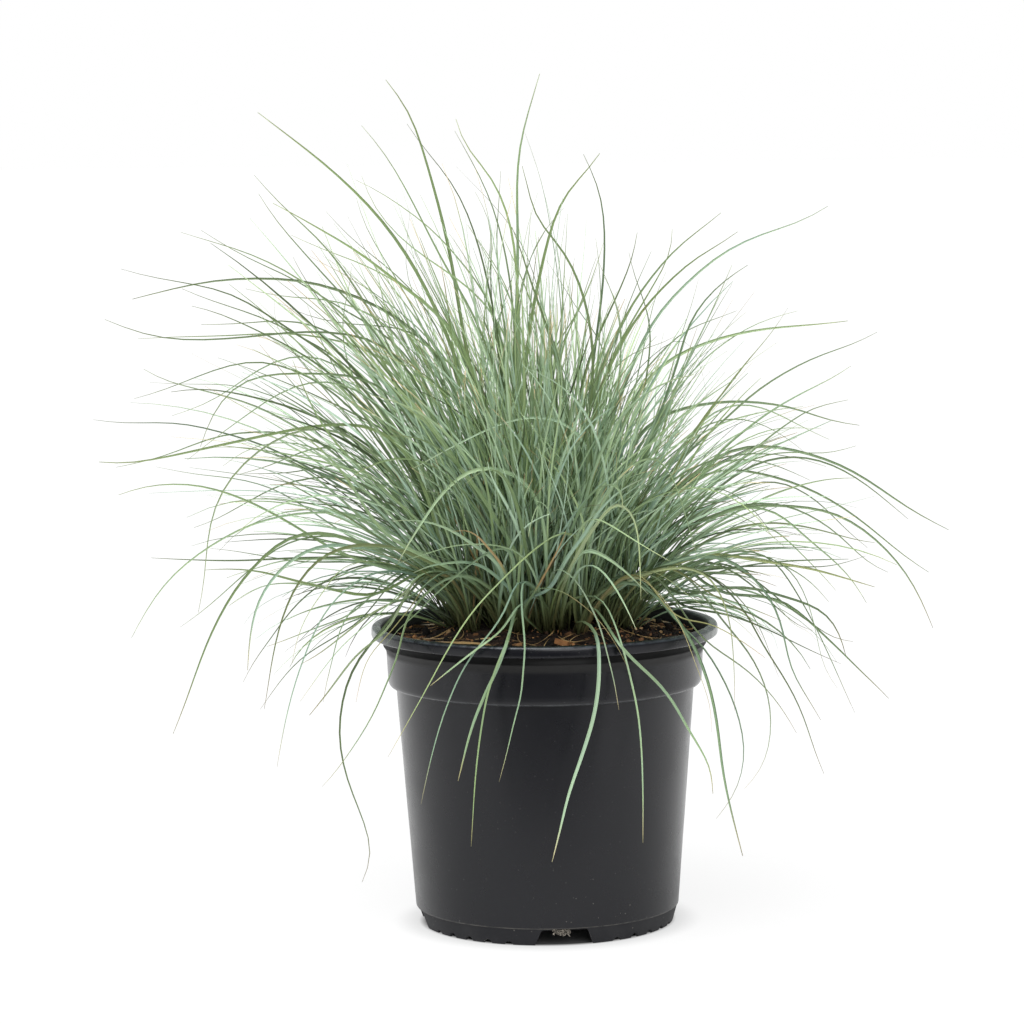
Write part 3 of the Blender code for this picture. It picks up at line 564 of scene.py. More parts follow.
def black_plastic():
    """Near-black satin plastic: flecks, dust by height, painted highlights on edges and ends, painted shade
    inside and in the neck.
    """
    material, tree, shader, place = new_material("black_plastic", 0.30)
    shader.inputs["Specular IOR Level"].default_value = 0.38
    axes = node(tree, "ShaderNodeSeparateXYZ", {0: place}).outputs
    x, height = axes["X"], axes["Z"]
    flat = node(tree, "ShaderNodeVectorMath", {0: place, 1: (1.0, 1.0, 0.0)}, operation="MULTIPLY").outputs[0]
    reach = node(tree, "ShaderNodeVectorMath", {0: flat}, operation="LENGTH").outputs["Value"]
    aside = node(tree, "ShaderNodeMath", {0: x}, operation="ABSOLUTE").outputs[0]
    fine = specks_at(tree, place, 1100.0, 0.40, 0.30)
    coarse = specks_at(tree, place, 620.0, 0.26, 0.10)
    settled = patches_at(tree, place, 14.0, 2.0, 0.48, 0.62)
    film = patches_at(tree, place, 26.0, 6.0, 0.45, 0.80)
    dust_and_sheen_patches = patches_at(tree, place, 130.0, 5.0, 0.42, 0.66)
    broken = patches_at(tree, place, 210.0, 4.0, 0.35, 0.60)
    low_down = between(tree, height, 0.060, 0.008)
    foot = between(tree, height, 0.0125, 0.0110)
    rim = between(tree, height, 0.1915, 0.1950)
    inside = times(tree, between(tree, reach, 0.1093, 0.1082), between(tree, height, 0.1800, 0.1840))
    groove = times(tree, between(tree, height, 0.1866, 0.1874), between(tree, height, 0.1924, 0.1916))
    groove = times(tree, groove, between(tree, reach, 0.1060, 0.1064))
    # painted highlight with some dust: the rim's left and right ends, as the camera sees them, turn pale
    # grey-green in patches
    ends = node(tree, "ShaderNodeMapRange", {"Value": dust_and_sheen_patches, "To Min": 0.35, "To Max": 0.80}).outputs[0]
    ends = times(tree, times(tree, between(tree, aside, 0.092, 0.114), rim), ends)
    black = (0.0006, 0.0008, 0.0030)
    colour = mixed(tree, times(tree, fine, 0.22), black, (0.015, 0.017, 0.030))
    specks = times(tree, times(tree, coarse, settled), low_down)
    colour = mixed(tree, times(tree, specks, 0.75), colour, (0.20, 0.19, 0.17))
    colour = mixed(tree, times(tree, coarse, 0.16), colour, (0.13, 0.125, 0.12))
    colour = mixed(tree, times(tree, times(tree, film, foot), 0.26), colour, (0.10, 0.10, 0.10))
    colour = mixed(tree, times(tree, times(tree, coarse, foot), 0.60), colour, (0.17, 0.16, 0.14))
    colour = mixed(tree, ends, colour, (0.26, 0.30, 0.275))
    # painted highlights with some wear: pale lines along the lip's top and bottom edges, the bevel, the
    # collar's foot and the parting line
    for middle, half, share, tone in EDGE_HIGHLIGHTS_AND_WEAR:
        worn = node(tree, "ShaderNodeMapRange", {"Value": broken, "To Min": 0.25 * share, "To Max": share})
        line = times(tree, line_at(tree, height, middle, half), worn.outputs[0])
        colour = mixed(tree, line, colour, tone)
    # painted shade: the inner wall above the soil and the neck groove under the lip are made near black
    colour = mixed(tree, inside, colour, (0.0025, 0.0022, 0.0020))
    colour = mixed(tree, groove, colour, (0.0010, 0.0010, 0.0012))
    tree.links.new(colour, shader.inputs["Base Color"])
    dull = node(tree, "ShaderNodeMath", {0: inside, 1: foot}, operation="MAXIMUM").outputs[0]
    rough = node(tree, "ShaderNodeMapRange", {"Value": film, "To Min": 0.25, "To Max": 0.38}).outputs[0]
    rough = node(tree, "ShaderNodeMath", {0: rough, 1: times(tree, dull, 0.35)}, operation="ADD").outputs[0]
    rough = node(tree, "ShaderNodeMath", {0: rough, 1: times(tree, groove, 0.15)},
                 operation="SUBTRACT").outputs[0]
    tree.links.new(rough, shader.inputs["Roughness"])
    grain = node(tree, "ShaderNodeTexNoise", {"Vector": place, "Scale": 1500.0, "Detail": 2.0})
    add_bump(tree, shader, grain, 0.18, 0.0002)
    return material


PLASTIC = black_plastic()
settle(pot, "nursery_pot", PLASTIC, replaces=["pot"])

# %% [markdown]
# ## The potting mix
# The soil is a plug of moist, dark bark and peat, about a finger's width below the rim. Only its top is
# seen, and through the front notch a little of its foot. The top is a disc of rings pulled inwards, which
# two displacements make lumpy, and several thousand separate crumbs and chips lie on it, because the
# eye reads soil by its crumbs and not by its surface.

# %% Pull the soil's plug and make its top lumpy
SOIL_EDGE = 103.6
SOIL_EDGE_HEIGHT = 190.8
SOIL_HEAP = 9.2
SOIL_RINGS = [
    (85.2, 11.4), (96.4, 158.0), (102.2, 166.0), (103.0, 183.0), (103.9, 186.4), (104.4, 189.4),
    (SOIL_EDGE, SOIL_EDGE_HEIGHT),
]
for step in range(1, 46):
    reach = SOIL_EDGE - 2.2 * step
    SOIL_RINGS.append((reach, SOIL_EDGE_HEIGHT + SOIL_HEAP * math.exp(-(reach / 72.0) ** 4)))
soil = pull_rings(SOIL_RINGS, 150)
bpy.ops.mesh.edge_face_add()
bpy.ops.mesh.select_all(action="SELECT")
bpy.ops.mesh.normals_make_consistent(inside=False)
bpy.ops.object.mode_set(mode="OBJECT")
top = soil.vertex_groups.new(name="top")
top.add([v.index for v in soil.data.vertices if v.co.z > 186.0 * MM], 1.0, "REPLACE")
for name, size, strength in (("lumps", 0.022, 4.2 * MM), ("crumbs", 0.006, 3.0 * MM)):
    clouds = bpy.data.textures.new(name, "CLOUDS")
    clouds.noise_scale = size
    clouds.noise_depth = 3
    apply_modifier(soil, "DISPLACE", name, texture=clouds, texture_coords="LOCAL", strength=strength,
                   mid_level=0.5, direction="Z", vertex_group="top")
bpy.ops.object.shade_smooth()


def soil_top(x, y):
    """The height of the soil under a point, found by looking straight down at the mesh."""
    hit, at = soil.ray_cast(Vector((x, y, 0.3)), Vector((0.0, 0.0, -1.0)))[:2]
    return at.z if hit else 191.0 * MM


print("soil in the middle stands at", round(soil_top(0.0, 0.0), 4))

# %% Make the soil's materials


def earth_material():
    """Moist dark peat with paler patches and a few bits of bark."""
    material, tree, shader, place = new_material("potting_mix", 0.92)
    shader.inputs["Specular IOR Level"].default_value = 0.25
    patches = patches_at(tree, place, 160.0, 6.0, 0.38, 0.68)
    chips = specks_at(tree, place, 260.0, 0.5, 0.16)
    colour = mixed(tree, patches, (0.0075, 0.0045, 0.0032), (0.040, 0.021, 0.012))
    colour = mixed(tree, times(tree, chips, 0.8), colour, (0.16, 0.075, 0.032))
    tree.links.new(colour, shader.inputs["Base Color"])
    grain = node(tree, "ShaderNodeTexNoise", {"Vector": place, "Scale": 700.0, "Detail": 5.0})
    add_bump(tree, shader, grain, 0.8, 0.0012)
    return material


def tinted_material(name, roughness, bump_scale, bump_size):
    """A dull material whose colour comes from the piece's own tint attribute, broken up by noise."""
    material, tree, shader, place = new_material(name, roughness)
    shader.inputs["Specular IOR Level"].default_value = 0.3
    tint = node(tree, "ShaderNodeVertexColor", layer_name="tint").outputs["Color"]
    patches = patches_at(tree, place, bump_scale, 5.0, 0.35, 0.7)
    colour = mixed(tree, times(tree, patches, 0.6), tint, (0.35, 0.30, 0.26), "MULTIPLY")
    tree.links.new(colour, shader.inputs["Base Color"])
    grain = node(tree, "ShaderNodeTexNoise", {"Vector": place, "Scale": bump_scale * 3.0, "Detail": 4.0})
    add_bump(tree, shader, grain, 0.7, bump_size)
    return material


EARTH = earth_material()
CRUMB = tinted_material("crumb_bark", 0.9, 420.0, 0.0006)
settle(soil, "soil_plug", EARTH, replaces=["soil"])

# %% [markdown]
# A crumb is a small ball with few faces, squashed and dented. Five of them are modelled, and each is
# copied many times at its own size and turn. All copies are joined into one mesh in one step, which is
# far quicker than joining thousands of objects, and every crumb carries its own colour.

# %% Model five crumbs


def crumb_patterns(count, seed):
    """Squashed and dented balls of twenty faces, as arrays of points and faces."""
    rng = random.Random(seed)
    patterns = []
    for number in range(count):
        bpy.ops.object.select_all(action="DESELECT")
        bpy.ops.mesh.primitive_ico_sphere_add(subdivisions=1, radius=1.0)
        crumb = bpy.context.object
        bpy.ops.object.mode_set(mode="EDIT")
        bpy.ops.mesh.select_all(action="SELECT")
        bpy.ops.transform.vertex_random(offset=0.42, uniform=0.2, seed=number + 3)
        bpy.ops.transform.resize(value=(1.0, rng.uniform(0.5, 0.9), rng.uniform(0.35, 0.8)))
        bpy.ops.object.mode_set(mode="OBJECT")
        points = np.array([v.co for v in crumb.data.vertices])
        faces = np.array([p.vertices for p in crumb.data.polygons])
        patterns.append((points, faces))
        bpy.data.objects.remove(crumb, do_unlink=True)
    return patterns


CRUMBS = crumb_patterns(5, 4)


def turn_matrices(rng, count):
    """Random turns as matrices, from random quaternions."""
    q = rng.normal(size=(count, 4))
    q /= np.linalg.norm(q, axis=1)[:, None]
    w, x, y, z = q.T
    return np.stack([
        np.stack([1 - 2 * (y * y + z * z), 2 * (x * y - z * w), 2 * (x * z + y * w)], -1),
        np.stack([2 * (x * y + z * w), 1 - 2 * (x * x + z * z), 2 * (y * z - x * w)], -1),
        np.stack([2 * (x * z - y * w), 2 * (y * z + x * w), 1 - 2 * (x * x + y * y)], -1)], 1)


def mesh_object(name, points, faces, tints=None):
    """One object from arrays of points and faces, with a colour for each point."""
    mesh = bpy.data.meshes.new(name)
    sides = faces.shape[1]
    mesh.vertices.add(len(points))
    mesh.vertices.foreach_set("co", np.asarray(points, np.float32).ravel())
    mesh.loops.add(faces.size)
    mesh.loops.foreach_set("vertex_index", faces.ravel().astype(np.int32))
    mesh.polygons.add(len(faces))
    mesh.polygons.foreach_set("loop_start", np.arange(0, faces.size, sides, dtype=np.int32))
    mesh.update(calc_edges=True)
    if tints is not None:
        layer = mesh.color_attributes.new("tint", "FLOAT_COLOR", "POINT")
        layer.data.foreach_set("color", np.asarray(tints, np.float32).ravel())
    mesh.validate()
    obj = bpy.data.objects.new(name, mesh)
    bpy.context.scene.collection.objects.link(obj)
    return obj


def scatter(name, patterns, places, sizes, tints, seed):
    """Copies of the patterns at the given places, each with its own turn, size and colour."""
    rng = np.random.default_rng(seed)
    turns = turn_matrices(rng, len(places))
    picks = rng.integers(0, len(patterns), len(places))
    all_points, all_faces, all_tints, start = [], [], [], 0
    for i, (points, faces) in enumerate(patterns):
        chosen = np.flatnonzero(picks == i)
        moved = np.einsum("nij,pj->npi", turns[chosen], points) * sizes[chosen, None, None]
        moved += places[chosen, None, :]
        offsets = start + np.arange(len(chosen))[:, None, None] * len(points)
        all_points.append(moved.reshape(-1, 3))
        all_faces.append((faces[None] + offsets).reshape(-1, faces.shape[1]))
        all_tints.append(np.repeat(tints[chosen], len(points), axis=0))
        start += len(chosen) * len(points)
    return mesh_object(name, np.vstack(all_points), np.vstack(all_faces), np.vstack(all_tints))


# %% Lay the crumbs on the soil
CRUMB_COUNT = 2600
CRUMBS_REACH = 102.5
rng = np.random.default_rng(8)
radius = np.sqrt(rng.uniform(0.0, 1.0, CRUMB_COUNT)) * CRUMBS_REACH * MM
angle = rng.uniform(0.0, 2 * math.pi, CRUMB_COUNT)
places = np.stack([radius * np.cos(angle), radius * np.sin(angle), np.zeros(CRUMB_COUNT)], 1)
sizes = rng.gamma(2.2, 0.55, CRUMB_COUNT).clip(0.5, 4.2) * MM
places[:, 2] = [soil_top(x, y) for x, y in places[:, :2]]
places[:, 2] += sizes * rng.uniform(-0.2, 0.45, CRUMB_COUNT)
CRUMB_COLOURS = np.array([(0.004, 0.003, 0.002, 1), (0.012, 0.007, 0.004, 1), (0.040, 0.021, 0.011, 1),
                          (0.17, 0.085, 0.038, 1), (0.42, 0.21, 0.085, 1), (0.56, 0.36, 0.18, 1)])
kinds = rng.choice(6, CRUMB_COUNT, p=[0.46, 0.24, 0.14, 0.08, 0.055, 0.025])
tints = CRUMB_COLOURS[kinds] * rng.uniform(0.75, 1.25, CRUMB_COUNT)[:, None]
tints[:, 3] = 1.0
crumbs = scatter("crumbs", CRUMBS, places, sizes, tints, 21)
settle(crumbs, "soil_crumbs", CRUMB)

# %% [markdown]
# ## How a leaf is made
# A leaf of this grass is a narrow, folded strip, two or three millimetres wide, that tapers to a point
# as fine as a hair. One leaf is modelled as a pattern that stands straight up: a square of four corners
# is pulled up ring by ring, as the pot was, then squashed flat, and one of its corners is pushed through
# to make the groove. Every leaf of the clump is a copy of the pattern, laid along its own route. Hair
# curves could do the same in the picture, but a mesh can be exported, printed and given a thickness.

# %% Model the leaf's patterns


def taper(t, widest=0.30, foot=0.62, power=2.1, tip=0.15):
    """Half width along a leaf, as a share of its greatest: narrow foot, broad blade, fine tip."""
    if t < widest:
        return foot + (1.0 - foot) * (t / widest) ** 0.8
    return tip + (1.0 - tip) * (1.0 - ((t - widest) / (1.0 - widest)) ** power)


def leaf_pattern(rings, shape=taper, fold=0.30):
    """A folded leaf of length 1 along Z and half width 1 along X. Its upper face looks along +Y."""
    heights = [k / (rings - 1.0) for k in range(rings)]
    leaf = pull_rings([(shape(t) / MM, t / MM) for t in heights], 4)
    bpy.ops.mesh.edge_face_add()
    bpy.ops.mesh.select_all(action="SELECT")
    bpy.ops.transform.resize(value=(1.0, 0.34, 1.0), center_override=(0.0, 0.0, 0.0))
    bpy.ops.mesh.select_mode(type="VERT")
    bpy.ops.mesh.select_all(action="DESELECT")
    bpy.ops.object.mode_set(mode="OBJECT")
    for v in leaf.data.vertices:
        v.select = v.co.y > 1e-4
    bpy.ops.object.mode_set(mode="EDIT")
    bpy.ops.transform.resize(value=(1.0, -0.35, 1.0), center_override=(0.0, 0.0, 0.0))
    bpy.ops.mesh.select_all(action="SELECT")
    bpy.ops.mesh.normals_make_consistent(inside=False)
    bpy.ops.object.mode_set(mode="OBJECT")
    points = np.array([v.co for v in leaf.data.vertices])
    ring = np.searchsorted(np.array(heights), points[:, 2] - 1e-4).clip(0, rings - 1)
    wide = np.array([shape(t) for t in heights])[ring]
    edge = np.abs(points[:, 0]) > 0.5 * wide
    points[:, 1] += np.where(edge, fold * wide, 0.0)
    corner = np.where(edge, np.where(points[:, 0] < 0, 0, 2), np.where(points[:, 1] < -0.2 * wide, 1, 3))
    faces = [tuple(p.vertices) for p in leaf.data.polygons]
    bpy.data.objects.remove(leaf, do_unlink=True)
    return {"points": points, "ring": ring, "corner": corner, "rings": rings, "faces": np.array(faces)}


def full_taper(t):
    """A leaf that keeps its width for longer, for those that hang in plain sight."""
    return taper(t, power=2.5, tip=0.16)


FINE_LEAF = leaf_pattern(30, full_taper)
PLAIN_LEAF = leaf_pattern(15)
print("faces of a fine leaf:", len(FINE_LEAF["faces"]), "and of a plain one:", len(PLAIN_LEAF["faces"]))

# %% [markdown]
# Laying a leaf along a route needs three directions at every ring: along the route, across the blade and
# out of its upper face. The across direction is carried from ring to ring with as little turn as can be,
# and the leaf's own twist is added to it, because every grass leaf has some twist.

# %% Lay leaves along their routes


def directions(routes, facing, twist):
    """Unit directions across each blade and out of its upper face, for N routes of K points."""
    along = np.gradient(routes, axis=1)
    along /= np.maximum(np.linalg.norm(along, axis=2), 1e-9)[..., None]
    across = np.empty_like(along)
    carried = facing
    for k in range(routes.shape[1]):
        carried = carried - along[:, k] * np.einsum("ni,ni->n", carried, along[:, k])[:, None]
        carried = carried / np.maximum(np.linalg.norm(carried, axis=1), 1e-9)[:, None]
        across[:, k] = carried
    out = np.cross(across, along)
    c, s = np.cos(twist)[..., None], np.sin(twist)[..., None]
    return across * c + out * s, out * c - across * s


def mark_strips(obj, pattern, count):
    """Sharp blade edges, and two UV maps: one round and along each blade, one with a strip for each leaf."""
    size = len(pattern["points"])
    pairs = np.zeros(len(obj.data.edges) * 2, np.int32)
    obj.data.edges.foreach_get("vertices", pairs)
    corners = pattern["corner"][pairs.reshape(-1, 2) % size]
    sharp = corners[:, 0] == corners[:, 1]
    layer = obj.data.attributes.new("sharp_edge", "BOOLEAN", "EDGE")
    layer.data.foreach_set("value", sharp)
    loops = np.zeros(len(obj.data.loops), np.int32)
    obj.data.loops.foreach_get("vertex_index", loops)
    leaf, local = loops // size, loops % size
    corner, ring = pattern["corner"][local].reshape(-1, 4), pattern["ring"][local]
    wraps = (corner.min(1) == 0) & (corner.max(1) == 3) & (np.ptp(ring.reshape(-1, 4), 1) > 0)
    corner = np.where(wraps[:, None] & (corner == 0), 4, corner).ravel()
    blade = np.stack([corner / 4.0, ring / (pattern["rings"] - 1.0)], 1)
    columns = max(1, int(math.sqrt(count * 2.4)))
    rows = -(-count // columns)
    bake = np.stack([(leaf % columns + 0.08 + 0.84 * blade[:, 0]) / columns,
                     (leaf // columns + 0.04 + 0.92 * blade[:, 1]) / rows], 1)
    for label, values in (("blade", blade), ("OFBake", bake)):
        layer = obj.data.uv_layers.new(name=label)
        layer.data.foreach_set("uv", values.astype(np.float32).ravel())
    obj.data.uv_layers["blade"].active = True
    obj.data.uv_layers["blade"].active_render = True


def lay_leaves(name, pattern, leaves, material, replaces=()):
    """One joined mesh of leaves, each a dict with a route, a width, a facing, a twist and tints."""
    routes = np.array([leaf["route"] for leaf in leaves])
    widths = np.array([leaf["width"] for leaf in leaves])
    facing = np.array([leaf["facing"] for leaf in leaves])
    twist = np.array([leaf["twist"] for leaf in leaves])
    tints = np.array([leaf["tints"] for leaf in leaves])
    across, out = directions(routes, facing, twist)
    ring = pattern["ring"]
    half = 0.5 * widths[:, None, None]
    points = routes[:, ring] + half * (across[:, ring] * pattern["points"][None, :, 0, None]
                                       + out[:, ring] * pattern["points"][None, :, 1, None])
    count, size = len(leaves), len(ring)
    faces = (pattern["faces"][None] + np.arange(count)[:, None, None] * size).reshape(-1, 4)
    colours = tints[:, ring].reshape(-1, 4)
    obj = mesh_object(name, points.reshape(-1, 3), faces, colours)
    mark_strips(obj, pattern, count)
    return settle(obj, name, material, replaces)


def through(knots, count):
    """A smooth route through knots, cut into evenly spaced points. Its slopes follow the neighbours."""
    knots = np.asarray(knots, float)
    gaps = np.maximum(np.linalg.norm(np.diff(knots, axis=0), axis=1), 1e-6)
    slopes = np.diff(knots, axis=0) / gaps[:, None]
    inner = (slopes[:-1] * gaps[1:, None] + slopes[1:] * gaps[:-1, None]) / (gaps[:-1] + gaps[1:])[:, None]
    tangents = np.vstack([slopes[:1], inner, slopes[-1:]])
    t = np.linspace(0.0, 1.0, 9)[:-1, None]
    parts = []
    for i, gap in enumerate(gaps):
        a = (2 * t ** 3 - 3 * t ** 2 + 1) * knots[i] + (t ** 3 - 2 * t ** 2 + t) * gap * tangents[i]
        b = (3 * t ** 2 - 2 * t ** 3) * knots[i + 1] + (t ** 3 - t ** 2) * gap * tangents[i + 1]
        parts.append(a + b)
    fine = np.vstack(parts + [knots[-1:]])
    run = np.concatenate([[0.0], np.cumsum(np.linalg.norm(np.diff(fine, axis=0), axis=1))])
    stops = np.linspace(0.0, run[-1], count)
    return np.stack([np.interp(stops, run, fine[:, i]) for i in range(knots.shape[1])], 1)


def tint_along(count, green, dry, bright, dry_tip=0.0, dry_from=0.86):
    """Green, dryness and brightness from foot to tip. Feet are yellow with painted shade, tips pale or dry.
    """
    t = np.linspace(0.0, 1.0, count)
    foot = np.clip(1.0 - t / 0.24, 0.0, 1.0) ** 2
    tints = np.ones((count, 4))
    tints[:, 0] = np.clip(green + 0.6 * foot + 0.30 * (t - 0.45), 0.0, 1.0)
    tints[:, 1] = np.clip(dry + dry_tip * np.clip((t - dry_from) / 0.10, 0.0, 1.0) + 0.35 * foot, 0.0, 1.0)
    # painted shade: the brightness falls to 0.15 of the leaf's own at the foot, over the lowest 27 per cent
    tints[:, 2] = np.clip(bright * (0.15 + 0.85 * np.clip(t / 0.27, 0.0, 1.0)), 0.0, 1.0)
    return tints


def clears_pot(route, soil_from=4):
    """Say whether a route of points keeps clear of the pot's wall and rim and of the soil."""
    r = np.hypot(route[:, 0], route[:, 1]) / MM
    z = route[:, 2] / MM
    wall = np.interp(z, [0.0, 12.0, 160.0, 184.0, 192.0, 200.0], [86.0, 89.5, 101.0, 107.0, 116.5, 116.5])
    in_wall = (z < 203.5) & (r < wall + 1.5) & (r > 99.0)
    under = (z < 190.0) & (r <= 99.0)
    under[:soil_from] = False
    return not (in_wall | under).any() and z.min() > 2.0


# %% [markdown]
# ## The leaf's material
# A bloom of wax makes young leaves blue-green. Where it has worn off they turn olive, and old tips dry to
# straw. Each point of a leaf carries three numbers in its tint: how green, how dry and how bright it is.
# The brightness is partly the leaf's own tone and partly painted light and shade: where it is low the
# colour turns deep olive and dark, and where it is high it turns pale as a painted sheen. The material
# turns them into colour and adds the fine ribs that run along every grass leaf.

# %% Make the leaf's material


def leaf_material():
    """Satin leaf: glaucous to olive by its green, painted shade and sheen by its brightness, straw where dry.
    """
    material, tree, shader, place = new_material("three_awn_leaf", 0.42)
    shader.inputs["Specular IOR Level"].default_value = 0.50
    tint = node(tree, "ShaderNodeVertexColor", layer_name="tint").outputs["Color"]
    split = node(tree, "ShaderNodeSeparateColor", {"Color": tint})
    green, dry, bright = split.outputs["Red"], split.outputs["Green"], split.outputs["Blue"]
    uv = node(tree, "ShaderNodeUVMap", uv_map="blade").outputs[0]
    ribs_at = node(tree, "ShaderNodeMapping", {"Vector": uv, "Scale": (26.0, 0.6, 1.0)})
    ribs = node(tree, "ShaderNodeTexNoise", {"Vector": ribs_at.outputs[0], "Scale": 1.0, "Detail": 2.0})
    patches = times(tree, patches_at(tree, place, 45.0, 3.0, 0.35, 0.65), 0.22)
    greener = node(tree, "ShaderNodeMath", {0: green, 1: patches}, operation="ADD", use_clamp=True).outputs[0]
    colour = mixed(tree, greener, (0.200, 0.318, 0.252), (0.285, 0.390, 0.155))
    # painted shade and sheen: low brightness turns the colour deep olive, high brightness turns it pale, and
    # it scales the colour 0.12 to 1.90 times
    deep = node(tree, "ShaderNodeMapRange", {"Value": bright, "From Min": 0.50, "From Max": 0.08}).outputs[0]
    colour = mixed(tree, deep, colour, (0.205, 0.315, 0.118))
    wax_and_painted_sheen = node(tree, "ShaderNodeMapRange", {"Value": bright, "From Min": 0.45, "To Max": 0.60}).outputs[0]
    colour = mixed(tree, wax_and_painted_sheen, colour, (0.350, 0.430, 0.352))
    colour = mixed(tree, dry, colour, (0.46, 0.290, 0.125))
    lift = node(tree, "ShaderNodeMapRange", {"Value": bright, "To Min": 0.12, "To Max": 1.90}).outputs[0]
    stripes = node(tree, "ShaderNodeMapRange", {"Value": ribs.outputs["Fac"],
                                                "From Min": 0.3, "From Max": 0.7,
                                                "To Min": 0.70, "To Max": 1.28}).outputs[0]
    shade = times(tree, lift, stripes)
    grey = node(tree, "ShaderNodeCombineXYZ", {0: shade, 1: shade, 2: shade}).outputs[0]
    colour = mixed(tree, 1.0, colour, grey, "MULTIPLY")
    tree.links.new(colour, shader.inputs["Base Color"])
    add_bump(tree, shader, ribs, 0.35, 0.0002)
    return material


LEAF = leaf_material()

# %% [markdown]
# ## The leaves that the photograph shows one by one
# Along the edge of the clump and over the front of the pot single leaves can be followed from tip to
# crown. They were traced on enlarged pieces of the photograph, called sheets here. A sheet has the
# pixel of its left top corner and its enlargement. A line of the list gives a leaf's width in
# millimetres, its green, its dryness (less than zero where only the outer half is dry), how far its tip
# stands in front of the pot's axis in millimetres, and the places it runs through on the sheet, from the
# tip inwards. The rest of its way down to the crown is added below.

# %% List the traced leaves
UPPER_LEFT = ((80, 60), 3.63, [
    (3.0, 0.75, 0, 30, "645,190 760,278 880,370 985,465 1070,550 1140,640 1205,735 1250,820 1290,900"),
    (3.2, 0.80, 0, -40, "1110,72 1190,175 1245,330 1280,450 1320,600 1365,830 1385,960"),
    (1.9, 0.55, 0, 20, "1022,238 1070,290 1120,360 1230,560 1290,680 1350,790 1400,870"),
    (2.4, 0.60, 0, -30, "632,418 690,485 760,555 850,635 920,710 980,800 1040,890 1080,960"),
    (1.9, 0.50, 0, 70, "648,485 690,555 760,640 850,740 930,830 1000,900 1080,1000"),
    (3.0, 0.70, 0, 60, "700,520 770,555 870,615 970,670 1050,725 1130,790 1210,850 1290,910"),
    (1.9, 0.60, 0, 40, "365,625 460,655 570,685 720,750 800,795 870,850 940,910 1010,980"),
    (1.8, 0.50, 0, -50, "440,618 520,670 610,720 700,760 790,800 880,860 960,910 1060,960"),
    (2.0, 0.70, 0, 110, "148,758 230,785 330,798 410,815 480,825 560,850 620,885 690,930 770,985 860,1040"),
    (2.7, 0.60, 0, -20, "190,868 280,845 380,820 480,800 590,793 700,792 790,797 880,815 960,840 1130,920 "
     "1200,965"),
    (2.0, 0.55, 0, 120, "90,942 160,972 240,1000 330,1015 430,1018 530,1012 620,1005 790,985 950,990 "
     "1030,1000"),
    (1.7, 0.75, 0, 60, "210,1012 330,1005 450,1003 560,1000 760,990 900,1010 1050,1050"),
    (1.8, 0.60, 0, -70, "370,830 440,862 530,890 620,920 700,950 790,1000 870,1040"),
    (1.9, 0.55, 0, 80, "405,893 470,905 540,935 620,970 700,1010 780,1050"),
    (1.7, 0.55, 0, 10, "600,830 680,850 770,863 860,865 940,875 1010,900 1070,930"),
    (1.9, 0.60, 0, 30, "1022,420 1035,470 1070,540 1130,615 1200,680 1280,735 1350,780 1430,840"),
    (1.6, 0.65, 0, -30, "1000,435 1060,460 1130,505 1200,555 1270,605 1330,670 1390,740 1440,800"),
    (1.4, 0.50, 0, 60, "1003,500 1020,570 1060,650 1110,730 1150,800 1200,880"),
    (1.4, 0.50, 0, -90, "893,550 940,605 1010,670 1080,725 1140,770"),
    (1.4, 0.50, 0, 20, "970,565 1010,640 1050,720 1100,800"),
    (2.0, 0.65, 0, -10, "765,635 850,675 940,710 1040,745 1120,790 1190,830 1260,880"),
    (1.3, 0.50, 0, 40, "1200,520 1195,600 1180,680 1185,790 1230,900"),
    (1.6, 0.50, 0, 90, "773,715 810,790 870,870 930,950 1000,1030"),
    (1.3, 0.50, 0, 50, "705,875 700,925 720,990 790,1080"),
    (1.8, 0.60, 0, 0, "720,880 790,915 880,945 960,955 1060,965 1150,965"),
    (1.4, 0.40, 0, -60, "1435,480 1480,560 1500,640 1490,740"),
    (1.3, 0.50, 0, 40, "1165,570 1200,650 1230,740 1290,840"),
    (1.5, 0.55, 0, -50, "985,750 985,810 960,880 950,960"),
    (1.5, 0.50, 0, 20, "825,890 850,960 880,1030"),
    (1.6, 0.45, 0, 60, "1410,600 1440,650 1480,720 1530,800"),
    (1.5, 0.50, 0, -20, "1340,630 1390,700 1440,790"),
    (1.8, 0.55, 0, 40, "440,960 530,960 610,955 700,945 800,948"),
])
UPPER_RIGHT = ((512, 60), 3.5, [
    (3.0, 0.45, 0, -10, "97,48 75,125 45,220 25,310 17,420 18,520 22,620 20,720 18,830 12,950"),
    (3.2, 0.85, 0, 20, "307,327 300,352 270,385 205,440 170,500 145,560 125,630 105,720 85,810 65,920"),
    (2.3, 0.15, 0, 40, "250,330 280,390 305,450 320,530 325,620 322,720 315,820 300,930"),
    (1.8, 0.30, 0, -50, "45,255 80,350 110,450 130,560 150,680 165,800 175,930"),
    (2.7, 0.85, 0, 50, "35,370 60,450 65,520 110,590 150,630 195,690 235,780 265,880 280,980"),
    (3.0, 0.65, 0, -80, "1175,913 1080,925 1000,930 910,938 820,950 740,970 650,1000 560,1040"),
    (1.8, 0.85, 0.1, 30, "965,868 920,940 870,1000 800,1080"),
    (1.5, 0.40, 0, -90, "1000,878 900,905 820,940 750,985 690,1030"),
    (2.8, 0.60, 0, 30, "0,585 30,660 60,760 100,870 130,960"),
    (1.8, 0.60, 0, 10, "320,640 290,740 250,840 200,940 180,1000"),
    (1.4, 0.50, 0, 70, "300,700 340,790 370,870 380,950"),
    (1.4, 0.50, 0, -20, "200,760 210,850 225,950"),
    (1.3, 0.40, 0, -70, "540,740 500,830 480,920"),
    (1.6, 0.50, 0, 30, "115,600 90,640 60,700 40,760"),
    (1.5, 0.45, 0, -30, "120,700 180,790 240,890 300,960"),
])
